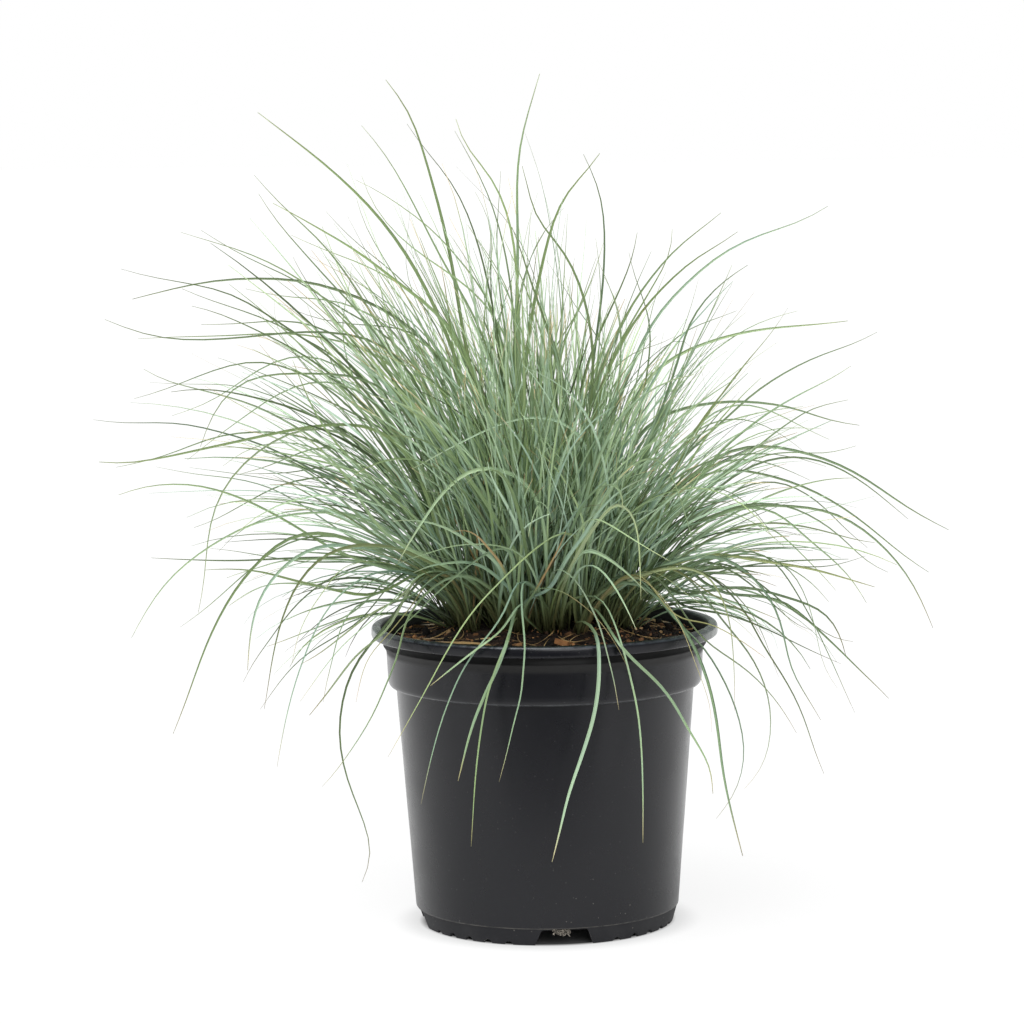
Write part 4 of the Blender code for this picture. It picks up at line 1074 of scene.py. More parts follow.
FAR_RIGHT = ((560, 200), 7.84, [
    (2.3, 0.60, 0, 30, "1262,100 1190,165 1100,230 1000,300 880,410 790,510 690,640 600,760 530,880 "
     "460,1010 390,1150 330,1290"),
    (2.0, 0.80, 0, -30, "880,230 890,310 870,410 830,500 760,620 690,740 630,840 560,960 490,1080 "
     "420,1200"),
    (2.6, 0.85, 0, 70, "1393,248 1290,330 1180,385 1080,440 980,520 880,610 780,710 690,810 600,920 "
     "530,1030 470,1150 400,1270"),
    (2.4, 0.20, 0, -60, "2099,49 1976,134 1819,197 1640,246 1568,270 1450,320 1330,380 1200,465 1080,570 "
     "960,680 850,795 740,930 660,1070 600,1210 540,1340"),
    (2.2, 0.75, 0, 20, "605,255 590,370 550,510 490,650 430,790 360,930 300,1060 250,1180"),
    (1.7, 0.50, 0, -40, "540,410 565,540 620,690 670,820 700,930 715,1060 700,1220 680,1380"),
    (1.3, 0.50, 0, 60, "280,300 300,430 310,560 320,680 320,820"),
    (1.4, 0.55, 0, 30, "345,600 400,700 445,800 475,920 480,1050 480,1180"),
    (1.9, 0.60, 0, -50, "285,450 230,590 190,740 140,870 60,1010 0,1080"),
    (1.6, 0.50, 0, 80, "290,540 230,680 180,800 130,910 60,1020"),
    (1.7, 0.45, 0, 10, "1348,510 1290,650 1220,800 1150,960 1080,1100 1010,1240 940,1400"),
    (2.3, 0.20, 0, 60, "1472,510 1380,565 1280,640 1180,730 1090,840 1010,970 970,1100 930,1250 880,1400"),
    (1.6, 0.55, 0, -70, "1085,620 1050,760 1000,920 950,1050 910,1200"),
    (1.7, 0.45, 0, -30, "1385,868 1270,915 1150,955 1020,1000 930,1060 840,1140 760,1230 690,1300"),
    (1.2, 0.40, 0.1, 40, "900,1070 870,1110 780,1125 690,1155 600,1185 500,1235 420,1330"),
    (1.2, 0.40, 0, 90, "1155,1568 1145,1480 1100,1290 1050,1150 1000,1075 930,1055 870,1100 760,1190 "
     "640,1290"),
    (1.5, 0.50, 0, -90, "1390,1060 1230,1140 1090,1230 980,1350 900,1470"),
    (2.0, 0.85, 0.1, 60, "1568,1150 1480,1250 1380,1380 1290,1500 1230,1568"),
])
TOP = ((400, 60), 7.127, [
    (2.2, 0.60, 0, 50, "50,455 100,545 165,620 260,730 350,840 430,970 490,1110 540,1250 590,1425"),
    (2.0, 0.45, 0, -60, "390,505 430,580 500,700 570,830 630,960 680,1100 720,1240 760,1425"),
    (2.5, 0.80, 0, 10, "398,420 410,510 460,625 560,720 640,810 700,920 750,1040 790,1180 815,1300 "
     "825,1425"),
    (1.1, 0.40, 0.1, -80, "400,760 500,860 600,960 700,1070 790,1170 860,1290 920,1420"),
    (1.3, 0.50, 0, 70, "535,940 600,1050 645,1140 660,1240 650,1330 630,1425"),
    (1.9, 0.50, 0, -30, "717,790 715,900 700,1030 695,1150 685,1280 690,1425"),
    (1.5, 0.50, 0, 30, "480,1175 540,1270 620,1370 660,1425"),
    (1.4, 0.55, 0, -20, "935,1060 930,1180 910,1300 905,1420"),
    (1.6, 0.45, 0, 60, "1165,1055 1100,1130 1010,1230 950,1350 920,1425"),
])
LEFT = ((80, 360), 4.61, [
    (2.4, 0.15, 0, 40, "62,275 110,285 180,291 260,290 360,287 440,288 520,298 600,318 680,340 760,362 "
     "850,390 930,430 1010,470 1100,520"),
    (3.0, 0.85, 0, 100, "88,470 140,482 220,477 320,462 440,438 560,410 680,385 800,358 930,330 1040,308 "
     "1130,297 1240,292 1330,298"),
    (1.8, 0.50, 0, -40, "165,495 300,468 400,440 500,400 600,360 700,338 800,332 900,330 1000,345 "
     "1080,370"),
    (1.7, 0.55, 0, 20, "250,178 340,155 440,118 540,75 640,38 740,10 815,0 920,20"),
    (1.9, 0.50, 0, -60, "293,42 350,80 430,108 520,128 620,155 720,180 820,215 920,265 1000,310"),
    (1.3, 0.50, 0, 60, "322,103 420,110 540,112 700,112 850,150"),
    (2.7, 0.60, 0, 30, "420,147 500,133 600,133 700,148 800,170 900,195 1000,225 1080,260 1160,290"),
    (1.6, 0.50, 0, -90, "425,257 500,235 580,200 660,165 720,110 800,60 880,10 960,-20"),
    (1.5, 0.45, 0, 90, "495,460 560,410 640,345 720,290 800,230 880,175 960,130 1050,100 1120,92"),
    (1.9, 0.45, 0.1, 110, "545,1165 565,1080 578,960 583,860 598,760 620,670 660,590 710,520 780,450 "
     "860,390 940,345 1040,310"),
    (2.1, 0.40, 0, -20, "350,492 430,508 520,525 620,535 720,545 820,568 900,595 980,640 1060,690 1140,745 "
     "1220,800"),
    (2.0, 0.60, 0, 70, "178,622 250,595 330,577 430,571 540,576 640,600 740,635 830,675 920,725 1010,775 "
     "1090,830 1180,880"),
    (1.8, 0.45, 0, 100, "238,1280 290,1180 340,1100 400,1020 480,945 580,870 680,810 780,760 880,730 "
     "960,712 1060,703 1160,700 1260,712"),
    (1.8, 0.55, 0, -50, "525,773 600,750 700,695 800,640 900,585 980,560 1060,545 1150,535"),
    (2.0, 0.50, 0, 20, "328,912 440,918 560,922 680,925 800,922 920,915 1040,910 1150,910 1260,905"),
    (1.5, 0.50, 0, -70, "600,868 700,878 800,895 900,912 1000,928 1100,932 1250,930"),
    (1.6, 0.50, 0, 40, "675,1005 740,980 820,960 900,930 1000,920"),
    (1.4, 0.50, 0, -30, "690,1130 760,1080 860,1035 960,1028 1080,1030"),
    (1.7, 0.45, 0, 60, "830,632 920,648 1020,658 1120,665 1220,675"),
    (2.0, 0.60, 0, 90, "890,530 960,565 1040,610 1120,655 1200,700 1290,760"),
    (1.8, 0.50, 0, 10, "720,530 800,510 880,485 960,450 1040,415 1100,400"),
    (1.6, 0.50, 0, -60, "750,525 850,523 950,522 1050,505 1130,490 1200,480"),
    (1.4, 0.50, 0, 30, "660,488 720,440 790,405 880,380"),
    (2.1, 0.55, 0, 80, "555,400 580,320 620,230 680,150 760,90 860,65 960,62 1060,62 1160,65 1260,68"),
    (2.7, 0.40, 0, 120, "620,403 720,400 800,405 880,425 950,460 1030,500 1100,550 1180,620 1250,680 "
     "1310,740"),
    (1.5, 0.50, 0, -20, "855,465 930,460 1000,435 1080,440"),
    (2.2, 0.60, 0, 110, "980,0 1010,80 1050,170 1080,240 1110,290"),
    (2.8, 0.55, 0, 130, "1000,320 1080,385 1150,450 1220,530 1290,640 1350,740"),
    (1.6, 0.75, 0.35, 120, "1110,865 1180,875 1240,870 1330,880"),
])
LOW_LEFT = ((160, 560), 6.533, [
    (2.8, 0.70, 0, 110, "85,1135 140,1000 190,860 235,730 285,590 335,470 390,360 450,250 510,160 570,85 "
     "640,10 790,-130"),
    (2.2, 0.55, 0, 60, "130,440 230,370 330,290 420,210 510,125 600,50 660,0 760,-80 900,-140"),
    (2.9, 0.80, 0, 90, "290,65 360,57 440,56 540,60 640,68 760,98 880,133 1000,160 1120,188 1240,215 "
     "1340,235"),
    (1.8, 0.45, 0, 100, "450,300 540,240 620,190 700,158 790,150 880,152 980,165 1080,180 1200,200"),
    (2.3, 0.10, 0, 120, "572,720 578,600 592,470 615,350 650,250 700,165 760,90 830,20 950,-60"),
    (1.3, 0.50, 0, 50, "545,795 590,700 680,570 760,460 800,400 880,300"),
    (2.4, 0.85, 0.15, 125, "680,975 700,870 715,740 740,610 765,480 800,370 840,260 890,160 950,80 1010,10 "
     "1120,-60"),
    (1.8, 0.50, 0, 90, "655,975 720,880 800,770 880,680 960,610 1060,550 1160,490 1250,440"),
    (3.0, 0.10, 0, 130, "765,1350 790,1200 815,1070 850,920 890,780 935,650 975,550 1020,440 1080,340 "
     "1140,260 1200,200 1280,140 1360,90"),
    (2.6, 0.80, 0.1, 100, "920,680 1020,625 1120,550 1220,470 1320,390 1420,320 1500,290"),
    (1.4, 0.50, 0, 60, "700,565 800,530 900,490 1000,450 1080,420 1200,380"),
    (1.9, 0.45, 0, 80, "830,390 920,345 1040,305 1140,280 1250,262 1350,250"),
    (1.5, 0.80, 0.1, 110, "860,680 885,560 905,480 950,380 1010,280 1080,190 1150,80"),
    (2.9, 0.80, 0.05, 122, "975,1015 1060,910 1150,790 1230,680 1300,600 1370,545 1420,515"),
    (2.6, 0.45, 0.05, 124, "1320,2104 1385,1966 1359,1790 1290,1610 1220,1437 1190,1320 1168,1200 "
     "1165,1100 1180,960 1210,820 1260,700 1330,590 1400,520"),
    (2.8, 0.55, 0, 132, "1060,1480 1105,1437 1200,1310 1290,1180 1370,1050 1430,930 1480,800 1530,690 "
     "1560,600 1600,400"),
    (2.0, 0.70, 0.45, 126, "1280,930 1310,780 1350,660 1410,570 1470,510 1530,440 1620,330"),
    (2.9, 0.30, 0, 128, "1065,930 1090,790 1130,640 1160,500 1200,400 1260,310 1340,260 1440,250 1530,280"),
    (2.0, 0.50, 0, 110, "915,925 1010,790 1120,640 1200,550 1290,470 1380,400"),
])
RIGHT = ((640, 360), 4.9, [
    (2.8, 0.45, 0, -60, "1512,832 1400,775 1290,710 1180,630 1080,565 980,510 880,475 780,445 680,425 "
     "580,415"),
    (2.0, 0.50, 0, 20, "1315,780 1220,700 1130,625 1050,570 950,515 870,487 760,470"),
    (2.1, 0.50, 0, -80, "1415,1040 1320,980 1240,915 1150,840 1050,760 950,695 850,640 750,600 650,568 "
     "560,550 460,530"),
    (2.3, 0.50, 0, -30, "1435,1312 1390,1200 1340,1100 1280,1010 1200,920 1110,840 1030,785 940,745 "
     "850,725 750,715 640,712 540,715"),
    (1.7, 0.45, 0, 60, "1215,1040 1140,1010 1080,960 1010,890 930,820 840,765 760,725 640,700"),
    (1.5, 0.50, 0, -50, "1115,920 1030,850 950,770 880,700 800,645 720,605"),
    (2.7, 0.80, 0.2, 70, "1150,1112 1060,1085 960,1055 850,1025 740,1005 620,988 500,968 400,950"),
    (2.9, 0.40, 0, 40, "1033,30 970,75 880,120 780,170 700,215 620,265 540,325 480,375 420,420 360,490 "
     "300,570"),
    (1.9, 0.45, 0, -40, "1162,-137 1081,-91 955,-49 825,0 740,45 660,90 580,145 500,210 430,280 360,340 "
     "290,400"),
    (2.0, 0.50, 0, 80, "1020,195 920,215 820,245 740,300 660,355 580,420 520,470"),
    (3.0, 0.35, 0, 30, "1075,320 960,305 860,275 770,238 680,220 580,208 480,202 380,207 280,222 180,245 "
     "100,275"),
    (1.7, 0.50, 0, -70, "928,390 850,355 760,310 680,265 620,240 540,215"),
    (1.5, 0.50, 0, 50, "1060,420 980,445 900,460 820,455 700,450"),
    (1.8, 0.50, 0, -20, "800,228 740,235 650,245 560,265 470,285 400,310 300,360"),
    (1.7, 0.50, 0, 70, "810,455 740,395 660,345 580,305 500,285 420,285"),
    (2.0, 0.55, 0, -40, "1050,578 950,580 860,595 780,615 700,640 600,680 520,720"),
    (1.6, 0.50, 0, 30, "890,335 800,335 700,330 620,345"),
    (1.9, 0.50, 0, 60, "835,590 760,555 680,520 600,495 520,485 430,490"),
    (2.0, 0.60, 0.1, -20, "1150,895 1050,880 950,850 850,825 750,805 640,795"),
    (1.5, 0.50, 0, 40, "1105,960 980,1000 880,1015 760,1010"),
    (1.9, 0.50, 0, 90, "1110,1190 1050,1090 980,1010 900,940 820,875 740,800 660,740 580,720"),
    (1.6, 0.50, 0, -60, "960,1130 900,1060 820,980 740,900 660,830"),
    (1.5, 0.50, 0, 20, "925,1185 850,1100 770,1040 690,1000"),
    (1.9, 0.70, 0.3, 90, "605,1372 570,1310 520,1240 460,1200 390,1170"),
    (1.7, 0.50, 0.2, 110, "570,1372 500,1300 430,1250 340,1220"),
    (1.5, 0.50, 0.1, 60, "860,1372 850,1330 800,1322 750,1300 700,1230 660,1180"),
])
LOW_RIGHT = ((640, 560), 6.031, [
    (2.0, 0.45, 0, -40, "1500,835 1420,750 1330,670 1240,575 1150,490 1060,405 980,330 900,265 820,230 "
     "720,215 620,212 520,210"),
    (2.0, 0.50, 0, 70, "1295,920 1240,800 1180,660 1120,530 1060,400 1000,290 930,170 860,60 810,0"),
    (3.2, 0.45, 0, 60, "1240,570 1215,470 1170,380 1110,310 1030,270 960,245 860,215 760,185 660,162 "
     "560,160 450,175 350,195 250,215"),
    (1.3, 0.50, 0, 20, "1285,492 1200,480 1130,455 1080,410 1000,360"),
    (1.9, 0.50, 0, 90, "1192,775 1140,710 1100,620 1080,530 1060,430 1040,340 1000,220 960,130 900,50"),
    (1.5, 0.50, 0, -50, "1045,425 980,410 920,370 860,320 800,260"),
    (2.1, 0.50, 0, 40, "1210,625 1130,590 1020,540 900,480 780,420 680,380 580,340 470,315 360,300 "
     "250,280"),
    (2.9, 0.25, 0, 100, "1090,965 1030,860 960,750 910,650 885,540 870,450 840,340 800,250 740,160 660,80 "
     "570,10"),
    (1.9, 0.45, 0.1, 80, "1110,1290 1060,1170 1020,1040 970,900 900,760 820,630 760,540 700,430 650,330"),
    (2.0, 0.50, 0.1, 115, "945,1045 880,930 800,820 700,710 590,620 480,550 410,500"),
    (2.3, 0.40, 0.1, 122, "630,1380 700,1310 750,1220 785,1090 792,970 780,840 740,710 680,590 600,480 "
     "530,400"),
    (2.8, 0.90, 0.40, 120, "755,590 660,520 560,455 460,400 360,370 270,365"),
    (1.8, 0.50, 0.1, 118, "835,705 790,580 750,470 710,380 650,290 580,210 500,140"),
    (1.7, 0.60, 0.2, 124, "570,910 572,760 565,600 555,450 530,320 490,210 440,120"),
    (3.0, 0.15, 0, 128, "460,1560 550,1447 610,1310 632,1150 610,1000 560,840 490,690 410,560 350,480 "
     "280,430 220,370"),
    (2.8, 0.30, 0, 130, "620,1785 535,1447 500,1270 480,1090 450,880 400,690 340,540 280,430 220,340 "
     "150,260 60,180 0,130"),
    (2.1, 0.40, 0.0, 134, "440,1410 425,1260 360,1130 280,1000 190,840 90,720 0,640 -100,540"),
    (1.4, 0.40, 0.50, 132, "430,1040 430,920 390,770 340,640 290,500 240,380"),
])
FRONT = ((0, 0), 1.0, [
    (3.6, 0.80, 0.05, 136, "388,757 428,686 442,660 451,643 462,627 472,611 486,596 506,576 527,555 "
     "543,543 559.6,531 571.8,527 579.6,531"),
    (3.2, 0.10, 0.0, 140, "421,804 431,758 447,705 469,659 484,640 498,623 510,598 518,576"),
    (2.3, 0.45, 0.0, 132, "430,686 452,668 475,650 500,631"),
    (2.6, 0.35, 0.0, 134, "458,781 474,721 486,692 498,667 509,635 517,603"),
    (2.6, 0.65, 0.0, 142, "471,847 477,758 482,721 487,694 494,672 507,640 518,611"),
    (2.8, 0.30, 0.0, 138, "499,782 507,752 514,721 521,695 523,667 525,648 523,627 521,600 522,576"),
    (3.1, 0.30, 0.0, 144, "552,862 560,830 568,796 583,752 594,715 598,690 599,660 598,640 594,626 584,619 "
     "573,618"),
    (2.1, 0.10, 0.1, 140, "619,710 614,680 608,656 601,629 596,616 591,606 584,592 576,580 566,571 "
     "555,566"),
    (3.2, 0.45, 0.0, 142, "643,843 643,780 640,726 637,704 632,683 626,658 619,635 610,612 600,595"),
    (2.3, 0.30, 0, 110, "412,469 429,460 451,447 476,435 496,425 519,418 539,416 553,418 568,424 580,433"),
    (3.3, 0.45, 0, 120, "398,563 411,539 423,521 435,502 449,486 462,475 472,469 486,467 502,470 515,474 "
     "523,480"),
    (1.7, 0.40, 0, 90, "415,490 433,492 451,493 470,497 492,503 515,515"),
    (3.2, 0.60, 0, 115, "392,399 409,409 425,421 441,441 458,466 472,482 486,502 498,523 511,543 521,564 "
     "523,584"),
    (2.8, 0.75, 0, 100, "521,418 526,427 528,447 527,468 526,490 525,511 523,535"),
    (3.0, 0.55, 0, 112, "699,564 693,541 686,517 679,494 671,474 663,461 652,454 639,460 625,470 611,488 "
     "600,506 588,531 580,555 576,580 573,600"),
    (3.2, 0.10, 0, 118, "645,478 627,486 611,498 596,515 584,535 570,553 558,574 551,588"),
    (2.5, 0.55, 0.15, 125, "641,600 640,560 639,541 636,523 631,511 623,503 614.7,502 606,512"),
    (1.9, 0.80, 0, 105, "531,442 543,455 558,470 568,486 576,502 584,523"),
    (2.2, 0.50, -0.85, 115, "566,531 560,545 549,566 539,584 529,600 523,609"),
    (2.4, 0.50, -0.80, 130, "452,532 460,530 470,531 480,538 486,545 500,562"),
    (1.8, 0.50, -0.60, 128, "628,668 618,648 605,628 590,611 580,603 570,596 560,590 547,588 535,588 "
     "526,592"),
    (2.6, 0.20, 0, 122, "413,573 429,566 447,563 468,562 482,566 496,576 511,590"),
    (2.8, 0.40, 0, 118, "392,521 415,520 433,523 453,531 474,545 486,553 502,570"),
    (2.2, 0.55, 0, 124, "395,565 411,558 429,553 447,547 468,544 486,544 502,546 519,552"),
    (2.6, 0.35, 0, 126, "386,645 398,629 415,615 433,596 451,580 470,564 486,553 505,545"),
])
SHEETS = [UPPER_LEFT, UPPER_RIGHT, FAR_RIGHT, TOP, LEFT, LOW_LEFT, RIGHT, LOW_RIGHT, FRONT]
print("traced leaves:", sum(len(sheet[2]) for sheet in SHEETS))

# %% [markdown]
# A traced leaf has to find its way from the last place where the eye could follow it down to the crown.
# Its foot stands on the side of the crown that it leans to, and leaves the soil almost upright. Its
# distance from the eye runs smoothly from the foot's to the tip's. A leaf that hangs over the rim has to
# come forward early enough to clear it, so for each of its pixels the least distance is worked out at
# which it is over the rim or outside it, and the leaf comes that far forward. The feet stand in tufts with
# dark gaps between them, because the clump spreads by shoots that rise close beside their parent.

# %% Turn the tracings into routes
CROWN_X = 546.0
PIXEL = 0.000665
CROWN_REACH = 50.0 * MM
CROWN_BACK = 5.0 * MM
CROWN_STRETCH = 1.22
TUFT_GAP = 12.0 * MM
TUFT_SPREAD = 2.4
FOOT_DEPTH = 3.0 * MM
OVER_RIM = 0.2045
OUTSIDE_RIM = 0.1185
INSIDE_RIM = 0.090


def tuft_middles(count, seed):
    """The tufts of the crown, with dark gaps between them: x, y, bearing and share of the way out."""
    rng = np.random.default_rng(seed)
    middles = []
    while len(middles) < count:
        share, around = math.sqrt(rng.uniform(0.0, 1.0)), rng.uniform(0.0, 2 * math.pi)
        x, y = (CROWN_REACH * share * f(around) for f in (math.cos, math.sin))
        x, y = CROWN_STRETCH * x, y + CROWN_BACK
        if all(math.dist((x, y), middle[:2]) > TUFT_GAP for middle in middles):
            middles.append((x, y, around, share))
    return middles


TUFTS = tuft_middles(36, 17)


def foot_place(lean_x, lean_near, rng):
    """A place in the crown for a leaf that leans this much to the right and towards the viewer."""
    x, y = 0.20 * lean_x, -0.34 * lean_near
    x += rng.uniform(-12.0, 12.0) * MM
    y += rng.uniform(-10.0, 10.0) * MM
    reach = math.hypot(x, y)
    if reach > CROWN_REACH:
        x, y = x * CROWN_REACH / reach, y * CROWN_REACH / reach
    x, y = CROWN_STRETCH * x, y + CROWN_BACK
    x, y = min(TUFTS, key=lambda tuft: math.dist((x, y), tuft[:2]))[:2]
    return x + rng.gauss(0.0, TUFT_SPREAD) * MM, y + rng.gauss(0.0, TUFT_SPREAD) * MM


def pixel_of(point):
    """The pixel of the photograph that shows a place in the scene."""
    sine, cosine = math.sin(CAMERA_PITCH), math.cos(CAMERA_PITCH)
    x, y, z = np.asarray(point) - np.array(CAMERA_AT)
    deep = y * cosine - z * sine
    u, v = FOCAL_PIXELS * x / deep, FOCAL_PIXELS * (z * cosine + y * sine) / deep
    right = u * math.cos(CAMERA_ROLL) + v * math.sin(CAMERA_ROLL)
    up = v * math.cos(CAMERA_ROLL) - u * math.sin(CAMERA_ROLL)
    return (PHOTO_SIDE / 2 + right, PHOTO_SIDE / 2 - up)


def least_near(pixels):
    """How far in front of the axis each pixel has to lie for its place to be over the rim or outside it."""
    tries = np.linspace(-0.06, 0.16, 111)
    places = np.stack([behind_pixels(pixels, np.full(len(pixels), near)) for near in tries])
    r = np.hypot(places[..., 0], places[..., 1])
    outside = (r > OUTSIDE_RIM) & (places[..., 1] < 0.0)
    free = (places[..., 2] > OVER_RIM) | outside | (r < INSIDE_RIM)
    # the last try that isn't free decides, because a leaf in front of it can come no nearer than that
    blocked = np.where(free, -1, np.arange(len(tries))[:, None]).max(0)
    return np.where(blocked < 0, tries[0], tries[np.minimum(blocked + 1, len(tries) - 1)])


def traced_route(pixels, tip_near, rng, count, forward=1.1):
    """A route from the crown to the tip that runs through the traced pixels, clear of the pot."""
    inner = pixels[-1]
    x, y = foot_place((inner[0] - CROWN_X) * PIXEL * 1.6, tip_near, rng)
    foot = (x, y, soil_top(x, y) - FOOT_DEPTH)
    foot_pixel = np.array(pixel_of(foot))
    rise = max(34.0, 0.30 * (foot_pixel[1] - inner[1]))
    away = inner[0] - foot_pixel[0]
    knots = [foot_pixel, foot_pixel + np.array([0.14 * away, -rise])]
    if inner[1] > foot_pixel[1] - 50.0 and abs(away) > 45.0:
        knots.append(foot_pixel + np.array([0.48 * away, -58.0 - 0.06 * abs(away)]))
    if np.hypot(*(knots[-1] - inner)) < 22.0:
        knots.pop()
    flat = through(knots + list(pixels[::-1]), count)
    for smoothing in range(2):
        flat[1:-1] = (flat[:-2] + 2.0 * flat[1:-1] + flat[2:]) / 4.0
    t = np.linspace(0.0, 1.0, count)
    needed = least_near(flat)
    needed[:4] = -1.0
    near = -y + (max(tip_near, needed[-1]) + y) * t ** forward
    for smoothing in range(6):
        near = np.maximum(near, needed + 2.5 * MM)
        near[1:-1] = (near[:-2] + 2.0 * near[1:-1] + near[2:]) / 4.0
    near = np.maximum(near, needed + 0.5 * MM)
    near[0] = -y
    route = behind_pixels(flat, near)
    route[0] = foot
    return route, clears_pot(route, 6)


rng = random.Random(11)
count = FINE_LEAF["rings"]
t = np.linspace(0.0, 1.0, count)
traced, blocked = [], 0
for sheet in SHEETS:
    (corner_x, corner_y), scale, leaves = sheet
    # painted light: the leaves in front of the pot get a brighter range, as if lit from the front
    low, high = (0.38, 0.64) if sheet is FRONT else (0.24, 0.54)
    slim = 1.0 if sheet in (LOW_LEFT, LOW_RIGHT) else 0.82
    for width, green, dry, near, places in leaves:
        pixels = np.array([tuple(map(float, p.split(","))) for p in places.split()])
        pixels = pixels / scale + np.array([corner_x, corner_y])
        route, clear = traced_route(pixels, near * MM, rng, count, 0.55 if sheet is FRONT else 1.1)
        blocked += not clear
        hangs = route[-1][2] < 0.20
        tips = (0.5 if hangs else 0.15, 0.86) if dry >= 0.0 else (-dry, 0.45)
        tints = tint_along(count, green, max(dry, 0.0), rng.uniform(low, high), *tips)
        traced.append({
            "route": route, "width": width * slim * MM, "facing": np.array([1.0, 0.0, 0.0]), "clear": clear,
            "twist": math.radians(rng.uniform(-40, 40)) + t * math.radians(rng.uniform(-40, 40)),
            "tints": tints})
print("routes made:", len(traced), "of which don't clear the pot:", blocked)
lay_leaves("traced_leaves", FINE_LEAF, [leaf for leaf in traced if leaf["clear"]], LEAF,
           replaces=[f"shoot_{k:02d}" for k in range(1, 41)])

# %% [markdown]
# ## The rest of the clump
# Between the traced leaves stand many hundred more that nobody could follow one by one. They are grown:
# each gets a foot in the crown, leans out the more the further out it stands, and ends where a smooth
# dome around the clump lies. A little wave and a little swing to one side keep them from looking combed.

# %% Grow the leaves between them
# how far the middle of a leaf may reach sideways, forwards and up, in metres
WIDEST = 0.284
DEEPEST = 0.272
HIGHEST = 0.561


def dome_reach(rise, bearing):
    """How far the clump reaches from its crown in metres, by the angle above the ground and the bearing."""
    reach = np.interp(rise, [-30.0, 0.0, 25.0, 45.0, 60.0, 90.0], [165.0, 202.0, 240.0, 258.0, 258.0, 250.0])
    lean = np.interp(rise, [0.0, 25.0, 45.0, 70.0, 90.0], [0.03, 0.10, 0.16, 0.14, 0.0])
    return reach * (1.0 - lean * math.cos(bearing)) * MM


def shows_enough(route, rise, bearing, rng):
    """Thin the leaves out where the photograph shows gaps: in front of the traced ones and at both sides."""
    ahead = (route[:, 1] < -0.125) & (np.abs(route[:, 0]) < 0.13) & (route[:, 2] > 0.20)
    if ahead.any() and rng.uniform() < 0.65:
        return False
    if math.cos(bearing) > 0.25:
        return rng.uniform() > (0.54 if rise < 70.0 else 0.34)
    if math.cos(bearing) < -0.25:
        return rng.uniform() > (0.68 if rise < 48.0 else 0.54 if rise < 66.0 else 0.30)
    return True


def shoot_places(each, seed):
    """Feet of the shoots, a few in every tuft: x, y, bearing and share of the way out."""
    rng = np.random.default_rng(seed)
    places = []
    for x, y, around, share in TUFTS:
        for number in range(each):
            lean_to = around + rng.normal(0.0, 0.25 + 1.0 * (1.0 - share))
            beside = x + rng.normal(0.0, TUFT_SPREAD * MM)
            behind = y + rng.normal(0.0, TUFT_SPREAD * MM)
            places.append((beside, behind, lean_to, share))
    return places


SHOOTS = shoot_places(4, 17)


def arching_route(foot, tip, way, rng, t, straight=0.56):
    """A route from foot to tip that leaves the foot more upright than it arrives, as a leaf's weight asks."""
    up = np.array([0.0, 0.0, 1.0])
    side = np.array([-way[1], way[0], 0.0])
    span = tip - foot
    chord = np.linalg.norm(span)
    tilt = math.acos(np.clip(span[2] / chord, -1.0, 1.0))
    lean = tilt * straight + rng.normal(0.0, 0.05)
    turn = min(3.0, tilt + (tilt - lean) * rng.uniform(0.4, 1.3) + rng.uniform(-0.05, 0.18))
    p1 = foot + (math.sin(lean) * way + math.cos(lean) * up) * chord * rng.uniform(0.36, 0.50)
    p2 = tip - (math.sin(turn) * way + math.cos(turn) * up) * chord * rng.uniform(0.26, 0.40)
    p1 = p1 + side * rng.normal(0.0, 0.02) * chord
    p2 = p2 + side * rng.normal(0.0, 0.045) * chord
    u = t[:, None]
    route = (1 - u) ** 3 * foot + 3 * u * (1 - u) ** 2 * p1 + 3 * u ** 2 * (1 - u) * p2 + u ** 3 * tip
    wave = np.sin(t * math.pi * rng.uniform(1.0, 2.6) + rng.uniform(0.0, 6.3))
    wave = wave * t * chord * rng.uniform(0.0, 0.022)
    return route + wave[:, None] * side


def inside_box(route):
    """Say whether a route stays inside the CAD model's box."""
    wide, deep = np.abs(route[:, 0]).max(), np.abs(route[:, 1]).max()
    return wide < WIDEST and deep < DEEPEST and route[:, 2].max() < HIGHEST


